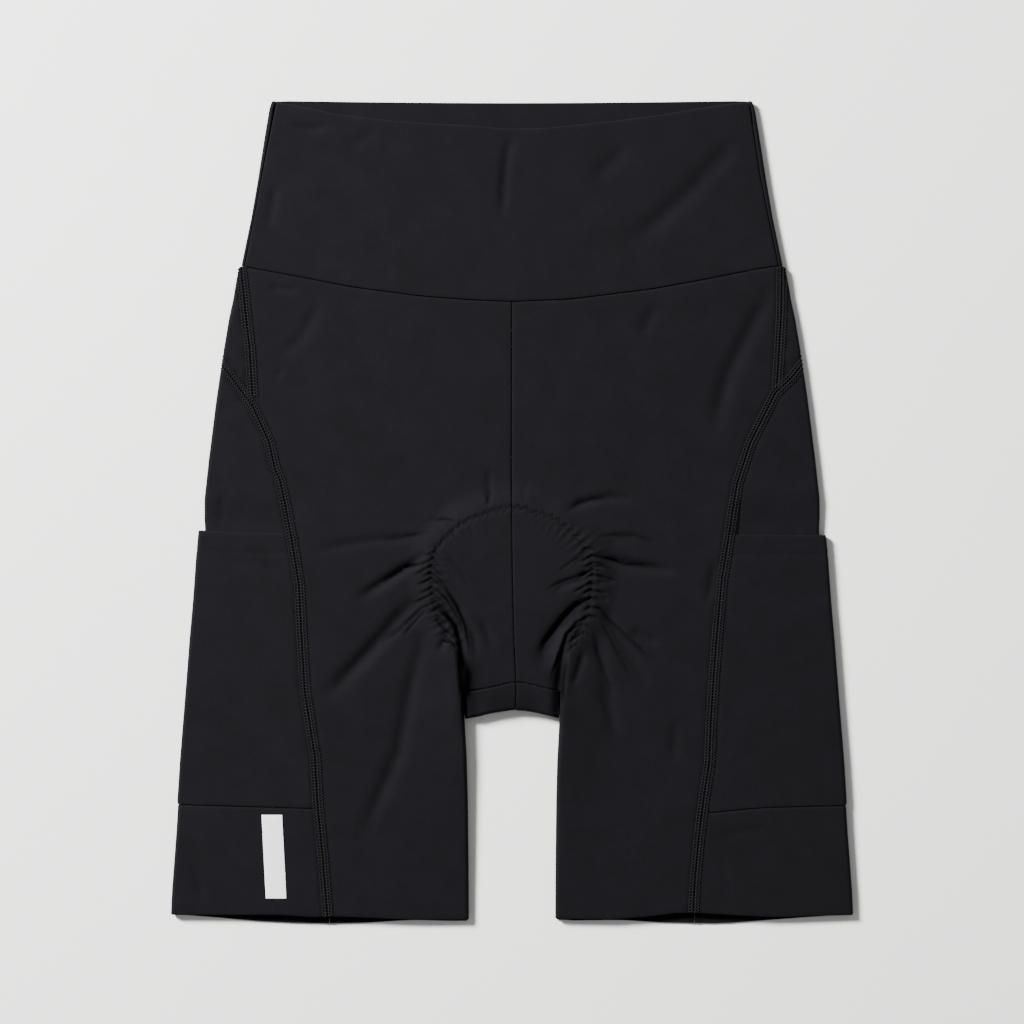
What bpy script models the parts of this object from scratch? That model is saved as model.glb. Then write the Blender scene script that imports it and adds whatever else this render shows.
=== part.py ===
"""Padded cycling shorts laid flat with the front up. Each cut piece of cloth is one closed solid.

Sizes are in millimetres until a mesh is made. X runs to the wearer's left, Y to the waist, Z up from
the table. A sheet is worked out as a flattened tube: "run" is the distance from the front centre
along the cloth, round the side fold and on along the back, so one formula places every layer.
"""
import math

import bpy
import numpy as np
from mathutils import Vector
from mathutils.geometry import delaunay_2d_cdt

# Cloth
CLOTH = 1.0
BAND_CLOTH = 1.6
PAD_THICK = 2.1
STRIP_THICK = 0.8
GAP = 0.3
POCKET_LIFT = 1.4

# Folds
SIDE_FOLD = 2.3
LEG_FOLD = 2.6
LEG_FOLD_TURN = 0.78 * math.pi
CROTCH_FOLD = 2.6
CROTCH_WIDEN = 1.045
PAD_FOLD = 2.2
PAD_CLEARANCE = 0.5
PAD_FOLLOWS = 0.6

# Rise of the front layer
BODY_CROWN = 1.4
LEG_CROWN = 0.7
PAD_RISE = 3.0
STITCH_GROOVE = 0.5
PUCKER_PITCH = 5.3
PUCKER_DEPTH = 0.6
PUCKER_REACH = 7.0

# Mesh: how a fold is cut up, and how wide it is drawn while its triangles are chosen
FOLD_PARTS = 4
FOLD_STEP = 1.9
FOLD_SPREAD = 60.0

# Reflective bar on the right lower band
STRIP_X = -147.0
STRIP_Y = -213.0
STRIP_WIDTH = 13.0
STRIP_HEIGHT = 52.0
STRIP_LEAN = -2.6

# Middle of the outline, which is moved to the origin
MIDDLE_Y = -0.2

RIGHT, LEFT = -1, 1
SIDE_NAMES = {RIGHT: "right", LEFT: "left"}


def table(columns, *rows):
    """Named columns, sorted by the first one."""
    values = np.array(sorted(rows), float)
    return {name: values[:, i] for i, name in enumerate(columns.split())}


def at(tab, where):
    """The second column at these values of the first."""
    first, second = list(tab.values())[:2]
    return np.interp(where, first, second)


# Half widths of the outline, from the waist down
BAND_WIDTH = table("y half", (254.8, 148.6), (249.2, 150.3), (236.8, 152.4), (224.4, 154.4), (205.8, 157.3),
                   (193.4, 159.4), (181.0, 161.6), (168.6, 164.2), (159.3, 166.1), (150.0, 168.0))
SIDE_WIDTH = table("y half", (152.5, 169.0), (147.6, 170.0), (131.4, 172.7), (119.0, 175.4), (97.3, 179.0),
                   (69.4, 183.1), (32.2, 187.8), (8.0, 190.4), (-4.0, 190.4), (-11.2, 190.0), (-24.8, 190.9),
                   (-54.6, 194.0), (-104.2, 199.4), (-153.8, 203.8), (-190.0, 206.4))
POCKET_WIDTH = table("y half", (-8.0, 193.8), (-17.4, 194.6), (-24.8, 195.4), (-54.6, 197.5), (-79.4, 199.7),
                     (-104.2, 201.6), (-129.0, 203.6), (-153.8, 205.6), (-178.6, 207.2), (-182.4, 206.8),
                     (-197.2, 207.7), (-215.8, 209.1), (-234.4, 210.5), (-256.0, 211.5))
LEG_INSIDE = table("y half", (-100.0, 30.6), (-128.0, 29.3), (-153.8, 27.9), (-178.6, 27.3), (-215.8, 26.9),
                   (-256.0, 26.7))
RIDGE_LINE = table("y half", (-70.0, 36.0), (-88.0, 34.0), (-100.0, 32.6), (-115.0, 30.7), (-128.0, 29.6),
                   (-153.8, 27.9), (-256.0, 26.7))
CROTCH_EDGE = table("x y", (-30.0, -128.4), (-19.8, -126.5), (-13.6, -124.8), (-7.4, -123.8), (0.0, -122.6),
                    (8.1, -123.1), (14.3, -124.2), (20.5, -125.7), (30.0, -128.2))

# Heights of the front layer above the table
EDGE_HEIGHT = table("y z", (255.0, 5.0), (20.0, 5.0), (-11.0, 5.8), (-183.0, 5.7), (-256.0, 5.1))
RIDGE_HEIGHT = table("y z", (-66.0, 0.0), (-84.0, 0.8), (-100.0, 1.9), (-120.0, 2.9), (-150.0, 2.6),
                     (-185.0, 1.2), (-235.0, 0.2), (-256.0, 0.0))
PAD_SHARE = table("y share", (60.0, 1.0), (-62.0, 1.0), (-100.0, 0.66), (-128.0, 0.45), (-140.0, 0.2),
                  (-170.0, 0.0))
FOLD_ALLOWANCE = table("y z", (60.0, 1.7), (-92.0, 1.7), (-108.0, 0.7), (-140.0, 0.4))

# Seam lines on the front, as (x, y)
BAND_TOP = ((-144.6, 253.0), (-135.2, 251.8), (-107.9, 246.1), (-78.7, 242.6), (-53.9, 240.3), (-29.8, 239.4),
            (-11.8, 237.6), (2.5, 237.1), (22.3, 237.6), (42.2, 239.6), (67.6, 242.4), (92.4, 245.7),
            (117.2, 250.0), (136.0, 252.7), (145.8, 253.4))
BAND_SIDE = {RIGHT: table("y x", (254.8, -145.6), (213.3, -153.8), (187.2, -158.7), (150.0, -165.9)),
             LEFT: table("y x", (254.8, 146.6), (210.8, 153.1), (181.0, 159.0), (150.0, 165.5))}
WAIST_SEAM = table("x y", (-168.6, 152.4), (-158.7, 150.4), (-130.4, 145.1), (-99.9, 139.1), (-56.4, 133.3),
                   (-26.0, 131.0), (0.0, 129.9), (36.6, 131.4), (86.2, 137.6), (120.3, 143.8), (154.4, 150.7),
                   (168.0, 152.4))
CENTRE_SEAM = table("y x", (130.0, 0.0), (26.0, -0.3), (-30.4, 0.2), (-70.7, 1.1), (-99.8, 2.4),
                    (-126.0, 2.6))
CROSS_SEAM = table("x y", (-31.0, -111.6), (-22.3, -110.0), (-8.9, -107.6), (-0.9, -105.2), (7.2, -105.4),
                   (26.4, -110.0), (31.0, -111.4))
HIP_SEAM = {RIGHT: ((-167.4, 152.2), (-164.3, 121.5), (-161.8, 99.8), (-160.2, 71.9)),
            LEFT: ((167.0, 152.2), (166.8, 124.6), (165.5, 101.7), (163.9, 76.0))}
SIDE_SEAM = {
    RIGHT: ((-160.2, 65.6), (-150.0, 43.4), (-146.3, 26.7), (-143.2, 19.8), (-139.5, 2.5), (-135.8, -17.4),
            (-131.4, -44.6), (-129.6, -80.0), (-127.7, -111.6), (-121.5, -151.3), (-119.7, -182.9),
            (-116.6, -214.5), (-113.8, -250.4)),
    LEFT: ((163.0, 73.4), (147.6, 42.8), (139.5, 18.0), (136.4, 0.0), (133.9, -17.4), (130.0, -40.9),
           (127.1, -72.5), (125.0, -99.8), (123.1, -129.6), (122.1, -155.0), (119.0, -174.8), (115.9, -199.0),
           (113.2, -228.2), (112.2, -248.0))}
# The side panel's arch, which tops out on the back, as (distance behind the side fold, y)
ARCH = ((-9.0, 83.5), (0.0, 93.0), (9.0, 101.0), (19.0, 107.5), (30.0, 110.0), (41.0, 107.0), (50.0, 99.0),
        (57.0, 86.0), (62.0, 70.0))
BACK_SEAM = ((119.5, 45.0), (114.5, 20.0), (112.0, -6.0), (112.5, -45.0), (113.5, -80.0), (114.0, -111.0),
             (114.5, -151.0), (114.5, -183.0), (114.0, -214.0), (113.0, -252.5))
FRONT_HEM = {RIGHT: table("x y", (-213.0, -249.2), (-143.2, -249.2), (-119.0, -250.9), (-111.0, -249.9),
                          (-62.6, -252.2), (-24.0, -252.3)),
             LEFT: table("x y", (24.0, -251.7), (60.8, -252.0), (83.7, -250.3), (105.4, -247.6),
                         (124.0, -248.6), (161.8, -250.7), (213.0, -249.0))}
BACK_HEM = {RIGHT: table("x y", (-213.0, -249.1), (-196.5, -249.9), (-175.0, -252.1), (-156.0, -253.7),
                         (-131.0, -254.8), (-110.0, -255.1), (-88.0, -254.5), (-63.0, -252.9),
                         (-38.0, -253.5), (-24.0, -253.3)),
            LEFT: table("x y", (24.0, -252.3), (36.0, -253.3), (67.0, -252.9), (91.8, -254.4),
                        (129.0, -255.1), (153.8, -253.3), (178.6, -251.5), (213.0, -249.0))}
BACK_WAIST_Y = 149.4
BACK_WAIST_RISE = 2.6
FOLD_WAIST_Y = 152.05
BAND_BACK_TOP_Y = 254.7
BAND_BACK_DIP = 1.2
POCKET_TOP = {RIGHT: table("x y", (-213.0, -11.0), (-120.0, -13.8)),
              LEFT: table("x y", (120.0, -13.8), (213.0, -14.2))}
POCKET_BASE = {RIGHT: table("x y", (-213.0, -180.9), (-120.0, -183.5)),
               LEFT: table("x y", (115.0, -186.2), (123.4, -186.0), (154.4, -182.9), (213.0, -181.5))}

# Half outline of the pad: its front half as (x, y), then its back half
PAD_FRONT = ((0.0, 2.5), (7.0, 2.2), (16.0, -0.8), (26.0, -4.5), (33.0, -8.8), (40.0, -15.0), (46.5, -23.0),
             (49.8, -32.0), (49.5, -45.0), (48.0, -56.0), (45.0, -66.0), (40.0, -76.0), (34.5, -85.0),
             (28.5, -95.0), (25.5, -110.0), (24.0, -124.0))
PAD_BACK = ((24.0, -120.0), (30.0, -100.0), (44.0, -75.0), (58.0, -48.0), (64.0, -24.0), (58.0, -2.0),
            (42.0, 12.0), (20.0, 18.0), (0.0, 19.5))

# Valleys (depth over 0) and ridges of the front layer: name, depth, half width, points (x, y)
CREASES = (
    ("thigh high", 2.2, 3.0, ((-50, -24), (-63, -33), (-86, -48), (-98, -55))),
    ("pocket line", 0.9, 3.0, ((-46, -14), (-69, -16), (-96, -19), (-128, -25))),
    ("thigh long", 2.4, 4.5, ((-50, -48), (-66, -61), (-86, -84), (-118, -118))),
    ("leg long", 1.5, 4.5, ((-46, -61), (-53, -73), (-62, -106), (-70, -149), (-98, -213))),
    ("pinch", 1.1, 2.5, ((-37, -73), (-42, -79), (-45, -88))),
    ("roll edge", 1.5, 2.4, ((-49, -55), (-35, -64), (-30, -78), (-28, -95))),
    ("roll", -1.1, 2.4, ((-48, -47), (-39, -55), (-29, -73), (-26, -95))),
    ("inside", 1.1, 2.6, ((-42, -48), (-31, -62), (-24, -76), (-21, -93))),
    ("inside soft", 0.9, 4.0, ((-46, -38), (-31, -53), (-17, -70), (-9, -85))),
    ("short", 0.7, 2.0, ((-45, -64), (-34, -71), (-30, -78))),
    ("small", 0.7, 2.2, ((-54, -5), (-42, -6), (-32, -9))),
    ("band centre", 1.2, 3.0, ((1, 236), (-3, 221), (-5, 200), (-6, 178))),
    ("band upper", 0.7, 2.2, ((-140, 239), (-125, 237), (-111, 238))),
    ("band patch", 0.5, 5.0, ((-82, 237), (-104, 224))),
    ("band side", 0.7, 3.0, ((-146, 205), (-151, 172))),
    ("band long", 1.4, 6.0, ((143, 238), (130, 220), (109, 197), (89, 179), (64, 163))),
    ("band second", 0.8, 5.0, ((75, 229), (48, 204))),
    ("hip short", 0.8, 2.0, ((-152, 139), (-130, 137))),
    ("hip slant", 0.7, 4.0, ((-117, 133), (-130, 108), (-146, 94))),
    ("hip long", 1.5, 5.0, ((164, 145), (150, 118), (134, 86), (127, 61), (125, 40))),
    ("hip second", 0.8, 4.0, ((89, 129), (79, 107))),
    ("tuck right", 0.8, 2.0, ((-15, 29), (-14, 14), (-14, 2))),
    ("arc", 1.4, 3.0, ((30, -1), (44, 6), (62, 9), (79, 7))),
    ("arc low", 0.5, 3.0, ((58, -18), (81, -15))),
    ("thigh", 2.1, 3.0, ((50, -27), (72, -32), (104, -38))),
    ("crotch broad", 2.3, 4.5, ((49, -51), (37, -63), (27, -74), (20, -86), (20, -100))),
    ("crotch ridge", -1.1, 2.4, ((45, -68), (32, -75), (29, -84), (24, -105))),
    ("crotch side", 1.1, 2.4, ((32, -84), (31, -97), (30, -110))),
    ("inner a", 0.7, 2.0, ((48, -24), (38, -32))),
    ("inner b", 1.1, 2.4, ((50, -32), (42, -42), (32, -45), (24, -51))),
    ("leg a", 1.3, 3.5, ((51, -51), (58, -62), (73, -90), (87, -108))),
    ("leg b", 1.3, 4.0, ((51, -69), (56, -95), (59, -115), (66, -149))),
    ("leg c", 1.1, 2.5, ((45, -83), (42, -95), (37, -110))),
    ("leg d", 1.0, 3.0, ((72, -73), (92, -82))),
    ("leg e", 0.7, 3.0, ((101, -126), (100, -156))),
    ("beside seam", 0.9, 2.5, ((126, -27), (124, -42), (121, -58))),
    ("cuff", 0.5, 3.0, ((-197, -217), (-190, -242))),
    ("crotch valley right", 1.5, 2.5, ((-31.5, -78), (-29.3, -98), (-28.6, -112), (-28.6, -142))),
    ("crotch valley left", 1.5, 2.5, ((31.5, -78), (29.3, -98), (28.6, -112), (28.6, -142))),
)


def smooth(low, high, value):
    share = np.clip((value - low) / (high - low), 0.0, 1.0)
    return share * share * (3.0 - 2.0 * share)


def nearest(line, x, y):
    """Distance to a polyline, and how far along it the nearest place is, in millimetres."""
    best = np.full(np.shape(x), 1e9)
    along = np.zeros(np.shape(x))
    run = 0.0
    for (x0, y0), (x1, y1) in zip(line[:-1], line[1:]):
        length = math.hypot(x1 - x0, y1 - y0)
        share = np.clip(((x - x0) * (x1 - x0) + (y - y0) * (y1 - y0)) / length ** 2, 0.0, 1.0)
        away = np.hypot(x - x0 - share * (x1 - x0), y - y0 - share * (y1 - y0))
        along = np.where(away < best, run + share * length, along)
        best = np.minimum(best, away)
        run += length
    return best, along, run


def inside(outline, x, y):
    """Whether each point lies in the polygon."""
    found = np.zeros(np.shape(x), bool)
    for (x0, y0), (x1, y1) in zip(outline, outline[1:] + outline[:1]):
        crosses = (y0 > y) != (y1 > y)
        slope = (x1 - x0) / (y1 - y0) if y1 != y0 else 0.0
        found ^= crosses & (x < x0 + (y - y0) * slope)
    return found


def crease_relief(x, y):
    relief = np.zeros(np.shape(x))
    for _, depth, width, line in CREASES:
        away, along, length = nearest(line, x, y)
        ends = smooth(0.0, 0.3 * length, along) * smooth(0.0, 0.3 * length, length - along)
        relief += depth * ends * np.exp(-(away / width) ** 2)
    return relief


def pad_distance(x, y):
    """Distance in from the pad's stitched edge, below zero outside it."""
    line = list(PAD_FRONT) + [(24.0, -160.0)]
    away, along, _ = nearest(line, np.abs(x), y)
    outline = line + [(-24.0, -160.0)] + [(-px, py) for px, py in reversed(PAD_FRONT)]
    return np.where(inside(outline, x, y), away, -away), along


def gather_relief(x, y):
    """The groove of the stitching and the puckers that it draws up on both sides."""
    away, along = pad_distance(x, y)
    reach = smooth(-4.0, -14.0, y) * smooth(-88.0, -76.0, y)
    wave = 0.5 - 0.5 * np.cos(2 * math.pi * along / PUCKER_PITCH)
    pucker = PUCKER_DEPTH * wave * reach * np.exp(-(away / PUCKER_REACH) ** 2)
    groove = STITCH_GROOVE * smooth(-92.0, -84.0, y) * np.exp(-(away / 1.6) ** 2)
    return pucker + groove


def smooth_height(x, y):
    """Top of the front layer without its creases."""
    half = np.where(y > 152.4, at(BAND_WIDTH, y), np.where(y > -11.0, at(SIDE_WIDTH, y), at(POCKET_WIDTH, y)))
    away = np.abs(x)
    middle = 0.5 * (at(LEG_INSIDE, y) + half)
    body = BODY_CROWN * (1.0 - np.clip(away / half, 0, 1) ** 2)
    leg = LEG_CROWN * (1.0 - np.clip((away - middle) / (half - middle), -1, 1) ** 2)
    low = smooth(-60.0, -150.0, y)
    pad, _ = pad_distance(x, y)
    rise = PAD_RISE * at(PAD_SHARE, y) * smooth(-17.0, 1.0, pad)
    past = away - at(RIDGE_LINE, y)
    ridge = at(RIDGE_HEIGHT, y) * smooth(-1.8, 2.2, past) * np.exp(-(np.maximum(past - 2.0, 0.0) / 22.0) ** 2)
    return at(EDGE_HEIGHT, y) + body * (1 - low) + leg * low + rise + ridge


def height(x, y):
    return smooth_height(x, y) - crease_relief(x, y) - gather_relief(x, y)


class Skin:
    """One layer of the flattened tube: its half widths and how far it lies inside the outer layer."""

    def __init__(self, widths, lift_from=None, leg_fold=False, crotch_fold=False):
        self.widths = widths
        self.lift_from = lift_from
        self.leg_fold = leg_fold
        self.crotch_fold = crotch_fold

    def lift(self, y):
        if self.lift_from is None:
            return np.zeros(np.shape(y))
        high, low = self.lift_from
        return POCKET_LIFT * smooth(high, low, y)

    def fold(self, side, y):
        """Where the side fold starts, its two half heights, and the length of cloth round it."""
        start = at(self.widths, y) - SIDE_FOLD
        top = height(side * start, y) - self.lift(y)
        low = self.lift(y)
        half = 0.5 * (top - low)
        return start, half, low + half, math.pi * 0.5 * (SIDE_FOLD + half)

    def around(self, side, y):
        """Run from the front centre to the back centre."""
        start, _, _, arc = self.fold(side, y)
        return 2.0 * start + arc

    def place(self, run, y):
        """Points of the outer face, for signed runs from the front centre."""
        side = np.where(run < 0, -1.0, 1.0)
        run = np.abs(run)
        start, half, middle, arc = self.fold(side, y)
        turn = np.clip((run - start) / arc, 0.0, 1.0) * math.pi
        x = np.where(run < start, run, start + SIDE_FOLD * np.sin(turn))
        x = np.where(run > start + arc, start - (run - start - arc), x)
        z = np.where(run < start, height(side * run, y) - self.lift(y), middle + half * np.cos(turn))
        if self.leg_fold:
            x, z = self.round_leg(side, run, y, x, z)
        return np.stack([side * x, y + 0.0 * x, z], axis=-1)

    def round_leg(self, side, run, y, x, z):
        """Turns the inner edge of a leg down towards the back layer."""
        legs = smooth(-109.0, -115.0, y)
        start = at(LEG_INSIDE, y) + LEG_FOLD
        top = height(side * start, y)
        half = 0.5 * (top - CLOTH - GAP)
        turn = np.clip((start - run) / (0.5 * (LEG_FOLD + half)), 0.0, math.pi)
        turned = (run < start) & (legs > 0)
        fold_x = start - LEG_FOLD * np.sin(turn)
        fold_z = top - half + half * np.cos(turn)
        x = np.where(turned, x + legs * (fold_x - x), x)
        z = np.where(turned, z + legs * (fold_z - z), z)
        return x, z


def leg_end(side, y):
    """Run at which a front leg's inner edge ends."""
    start = at(LEG_INSIDE, y) + LEG_FOLD
    half = 0.5 * (height(side * start, y) - CLOTH - GAP)
    return start - LEG_FOLD_TURN * 0.5 * (LEG_FOLD + half)


BAND = Skin(BAND_WIDTH)
FRONT = Skin(SIDE_WIDTH, leg_fold=True)
BACK = Skin(SIDE_WIDTH, crotch_fold=True)
UNDER = Skin(SIDE_WIDTH, lift_from=(12.0, -9.0))
OUTER = Skin(POCKET_WIDTH)


def front_face(skin):
    """Places points given as (signed run, y)."""
    return lambda c, y: skin.place(c, y)


def back_face(skin):
    """Places points given as (signed distance from the back centre, y), and turns the crotch forward."""
    def place(c, y):
        side = np.where(c < 0, -1.0, 1.0)
        points = skin.place(side * (skin.around(side, y) - np.abs(c)), y)
        edge = at(CROTCH_EDGE, c) + CROTCH_FOLD
        tab = skin.crotch_fold & (np.abs(c) < at(LEG_INSIDE, y) + 0.3) & (y < edge) & (y > -156.0)
        top = height(c, edge)
        arc = math.pi * 0.5 * (CROTCH_FOLD + 0.5 * top)
        past = np.maximum(edge - y, 0.0)
        turn = np.clip(past / arc, 0.0, 1.0) * math.pi
        shown_y = np.where(past < arc, edge - CROTCH_FOLD * np.sin(turn), edge + past - arc)
        wide = c * (1.0 + (CROTCH_WIDEN - 1.0) * np.clip(past / arc, 0.0, 1.0))
        shown_z = np.where(past < arc, 0.5 * top * (1 - np.cos(turn)), height(wide, shown_y))
        turned = np.stack([wide, shown_y, shown_z], axis=-1)
        return np.where(tab[..., None], turned, points)
    return place


def pad_top(x, y):
    followed = PAD_FOLLOWS * np.maximum(crease_relief(x, y), 0.0)
    return smooth_height(x, y) - followed - CLOTH - at(FOLD_ALLOWANCE, y) - GAP - 0.05


def pad_face(x, v):
    """The pad lies under the front, turns in the crotch and comes back up over the back panels."""
    edge = at(CROTCH_EDGE, x) + CLOTH + PAD_CLEARANCE + PAD_FOLD
    low = CLOTH + GAP
    top = pad_top(x, edge)
    half = 0.5 * (top - low)
    arc = math.pi * 0.5 * (PAD_FOLD + half)
    past = np.maximum(edge - v, 0.0)
    turn = np.clip(past / arc, 0.0, 1.0) * math.pi
    y = np.where(v > edge, v, np.where(past < arc, edge - PAD_FOLD * np.sin(turn), edge + past - arc))
    z = np.where(v > edge, pad_top(x, v), np.where(past < arc, low + half + half * np.cos(turn), low))
    return np.stack([x, y, z], axis=-1)


# Outlines and filling
def inset(outline, by):
    """The polygon moved in by this much, for a counter-clockwise outline."""
    moved = []
    for before, here, after in zip(outline[-1:] + outline[:-1], outline, outline[1:] + outline[:1]):
        first = Vector((here[0] - before[0], here[1] - before[1])).normalized()
        second = Vector((after[0] - here[0], after[1] - here[1])).normalized()
        mitre = Vector((-first.y - second.y, first.x + second.x))
        scale = by / max(0.5 * mitre.length_squared, 0.25)
        moved.append((here[0] + mitre.x * scale, here[1] + mitre.y * scale))
    return moved


def signed_area(outline):
    return 0.5 * sum(x0 * y1 - x1 * y0 for (x0, y0), (x1, y1) in zip(outline, outline[1:] + outline[:1]))


def refined(outline, step_at):
    """The outline with its long edges cut into steps of the length that step_at gives there."""
    points = []
    for (x0, y0), (x1, y1) in zip(outline, outline[1:] + outline[:1]):
        length = math.hypot(x1 - x0, y1 - y0)
        step = step_at(0.5 * (x0 + x1), 0.5 * (y0 + y1), abs(x1 - x0) > 0.35 * abs(y1 - y0))
        count = max(1, math.ceil(length / step))
        points += [(x0 + (x1 - x0) * i / count, y0 + (y1 - y0) * i / count) for i in range(count)]
    return points


def thinned(groups, outline, margin):
    """Points inside the outline, each group in turn kept clear of those already taken."""
    edge = outline + outline[:1]
    taken = np.zeros((0, 2))
    for points, apart in groups:
        points = np.array(points, float).reshape(-1, 2)
        if not len(points):
            continue
        away, _, _ = nearest(edge, points[:, 0], points[:, 1])
        fits = inside(outline, points[:, 0], points[:, 1]) & (away > min(margin, 0.75 * apart + 0.6))
        for point in points[fits]:
            if not len(taken) or np.hypot(*(taken - point).T).min() > apart:
                taken = np.vstack([taken, point])
    return [tuple(p) for p in taken]


def grid(outline, step):
    xs, ys = [p[0] for p in outline], [p[1] for p in outline]
    across = np.arange(min(xs), max(xs), step)
    down = np.arange(min(ys), max(ys), step * 0.9)
    return [(x + (0.5 * step if row % 2 else 0.0), y) for row, y in enumerate(down) for x in across]


def triangulated(outline, filling, warp):
    """Points and counter-clockwise triangles of the filled outline, chosen where warp moves the points."""
    points = np.array(outline + filling)
    moved = np.stack(warp(points[:, 0], points[:, 1]), axis=-1)
    found = delaunay_2d_cdt([Vector(p) for p in moved], [], [list(range(len(outline)))], 1, 1e-5, True)
    origin = np.array([ids[0] for ids in found[3]])
    faces = np.array([tuple(f) for f in found[2]])
    shown = np.array([tuple(v) for v in found[0]])
    centre = shown[faces].mean(axis=1)
    edge = [tuple(p) for p in moved[:len(outline)]]
    faces = faces[inside(edge, centre[:, 0], centre[:, 1])]
    a, b, c = shown[faces[:, 0]], shown[faces[:, 1]], shown[faces[:, 2]]
    clockwise = (b - a)[:, 0] * (c - a)[:, 1] - (b - a)[:, 1] * (c - a)[:, 0] < 0
    faces[clockwise] = faces[clockwise][:, ::-1]
    used, faces = np.unique(origin[faces], return_inverse=True)
    return points[used], faces.reshape(-1, 3)


def normals(place, c, y, outward):
    step = 0.05
    across = place(c + step, y) - place(c - step, y)
    down = place(c, y + step) - place(c, y - step)
    normal = np.cross(across, down) * outward
    return normal / np.maximum(np.linalg.norm(normal, axis=-1, keepdims=True), 1e-9)


def closed_sheet(place, points, faces, thick, outward, raised):
    """Outer face, inner face and rim of a sheet of cloth, as vertices and triangles."""
    c, y = points[:, 0], points[:, 1]
    normal = normals(place, c, y, outward)
    outer = place(c, y) + normal * raised
    inner = outer - normal * thick
    if outward < 0:
        faces = faces[:, ::-1]
    count = len(points)
    directed = {(a, b) for f in faces for a, b in ((f[0], f[1]), (f[1], f[2]), (f[2], f[0]))}
    rim = [(a, b) for a, b in directed if (b, a) not in directed]
    walls = [(b, a, a + count) for a, b in rim] + [(b, a + count, b + count) for a, b in rim]
    shown = [tuple(f) for f in faces]
    hidden = [tuple(f + count) for f in faces[:, ::-1]]
    return np.vstack([outer, inner]), shown + hidden + walls


def material(name, colour, roughness):
    found = bpy.data.materials.get(name)
    if found:
        return found
    made = bpy.data.materials.new(name)
    made.use_nodes = True
    shader = made.node_tree.nodes["Principled BSDF"]
    shader.inputs["Base Color"].default_value = (*colour, 1.0)
    shader.inputs["Roughness"].default_value = roughness
    made.diffuse_color = (*colour, 1.0)
    return made


def knit():
    return material("knit", (0.016, 0.016, 0.019), 0.85)


def foam():
    return material("foam", (0.03, 0.03, 0.034), 0.9)


def reflective():
    return material("reflective", (0.80, 0.81, 0.83), 0.4)


def make_node(name, vertices, faces, surface):
    mesh = bpy.data.meshes.new(name)
    moved = (vertices - np.array([0.0, MIDDLE_Y, 0.0])) / 1000.0
    mesh.from_pydata([tuple(v) for v in moved], [], [tuple(int(i) for i in f) for f in faces])
    mesh.materials.append(surface)
    node = bpy.data.objects.new(name, mesh)
    bpy.context.collection.objects.link(node)
    return node


# Points that follow the creases, the puckers and the folds
def line_length(line):
    return sum(math.dist(a, b) for a, b in zip(line[:-1], line[1:]))


def walk(line, distance):
    """The place this far along a polyline, and its normal."""
    share = 1.0
    for (x0, y0), (x1, y1) in zip(line[:-1], line[1:]):
        length = math.hypot(x1 - x0, y1 - y0)
        if distance <= length + 1e-6:
            share = distance / length
            break
        distance -= length
    return x0 + (x1 - x0) * share, y0 + (y1 - y0) * share, (y0 - y1) / length, (x1 - x0) / length


def crease_points():
    """Along the middle and both foot lines of each crease."""
    points = []
    for _, _, width, line in CREASES:
        length = line_length(line)
        count = max(2, round(length / max(2.2 * width, 8.0)))
        for k in range(count + 1):
            x, y, nx, ny = walk(line, length * k / count)
            points += [(x + nx * away, y + ny * away) for away in (0.0, -1.35 * width, 1.35 * width)]
    return points


def pucker_points():
    """On each crest and hollow of the puckers round the pad."""
    points = []
    for k in range(int(line_length(PAD_FRONT) / (0.5 * PUCKER_PITCH))):
        x, y, nx, ny = walk(PAD_FRONT, 0.5 * PUCKER_PITCH * k)
        if -84.0 < y < -6.0:
            row = [(x + nx * away, y + ny * away) for away in (0.0, -5.0, 5.0)]
            points += [(side * px, py) for side in (RIGHT, LEFT) for px, py in row]
    return points


def fold_at(skin, side, y):
    """Where the side fold starts in a row, and the length of cloth round it."""
    start, _, _, arc = skin.fold(float(side), np.array(y))
    return float(start), float(arc)


def run_behind(skin, side, x, y):
    """Distance of a place x on the front layer from the back centre, along the cloth."""
    return side * (float(skin.around(float(side), np.array(y))) - abs(x))


def to_back(skin, side, points):
    return [(run_behind(skin, side, x, y), y) for x, y in points]


def fold_columns(skin, side, high, low, step):
    """Columns of points round the side fold and beside it."""
    points = []
    for y in np.arange(low, high, step):
        start, arc = fold_at(skin, side, y)
        points += [(side * (start + arc * k / FOLD_PARTS), y) for k in range(FOLD_PARTS + 1)]
        points += [(side * (start - 9.0), y), (side * (start + arc + 9.0), y)]
    return points


def leg_columns(side):
    """Columns of points round the inner edge of a leg."""
    points = []
    for y in np.arange(-244.0, -116.0, 20.0):
        end = float(leg_end(float(side), np.array(y)))
        first = float(at(LEG_INSIDE, y)) + LEG_FOLD
        points += [(side * (first + (end - first) * k / FOLD_PARTS), y) for k in range(FOLD_PARTS)]
        points.append((side * (first + 6.0), y))
    return points


def ridge_points(side):
    rows = np.arange(-108.0, -70.0, 6.0)
    return [(side * (float(at(RIDGE_LINE, y)) + away), y) for y in rows for away in (-1.6, 0.8, 3.2)]


# Lengths of the edges along an outline: short where it runs across a fold
def across_fold(skin, side, plain):
    def step(c, y, level):
        start, arc = fold_at(skin, side, y)
        near = start - 1.0 < abs(c) < start + arc + 1.0
        return FOLD_STEP if near and level else plain
    return step


def across_fold_behind(skin, plain):
    def step(c, y, level):
        side = RIGHT if c < 0 else LEFT
        start, arc = fold_at(skin, side, y)
        near = start - 1.0 < abs(run_behind(skin, side, c, y)) < start + arc + 1.0
        if skin.crotch_fold and abs(c) < 29.5 and -156.0 < y < -122.0:
            return 6.0 if level else 2.2
        return FOLD_STEP if near and level else plain
    return step


def across_leg(c, y, level):
    if abs(c) < LEG_FOLD + float(at(LEG_INSIDE, y)) and y < -112.0:
        return 2.2 if level else 12.0
    return 7.5 if y < 10.0 and abs(c) < 40.0 else 16.0


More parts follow.
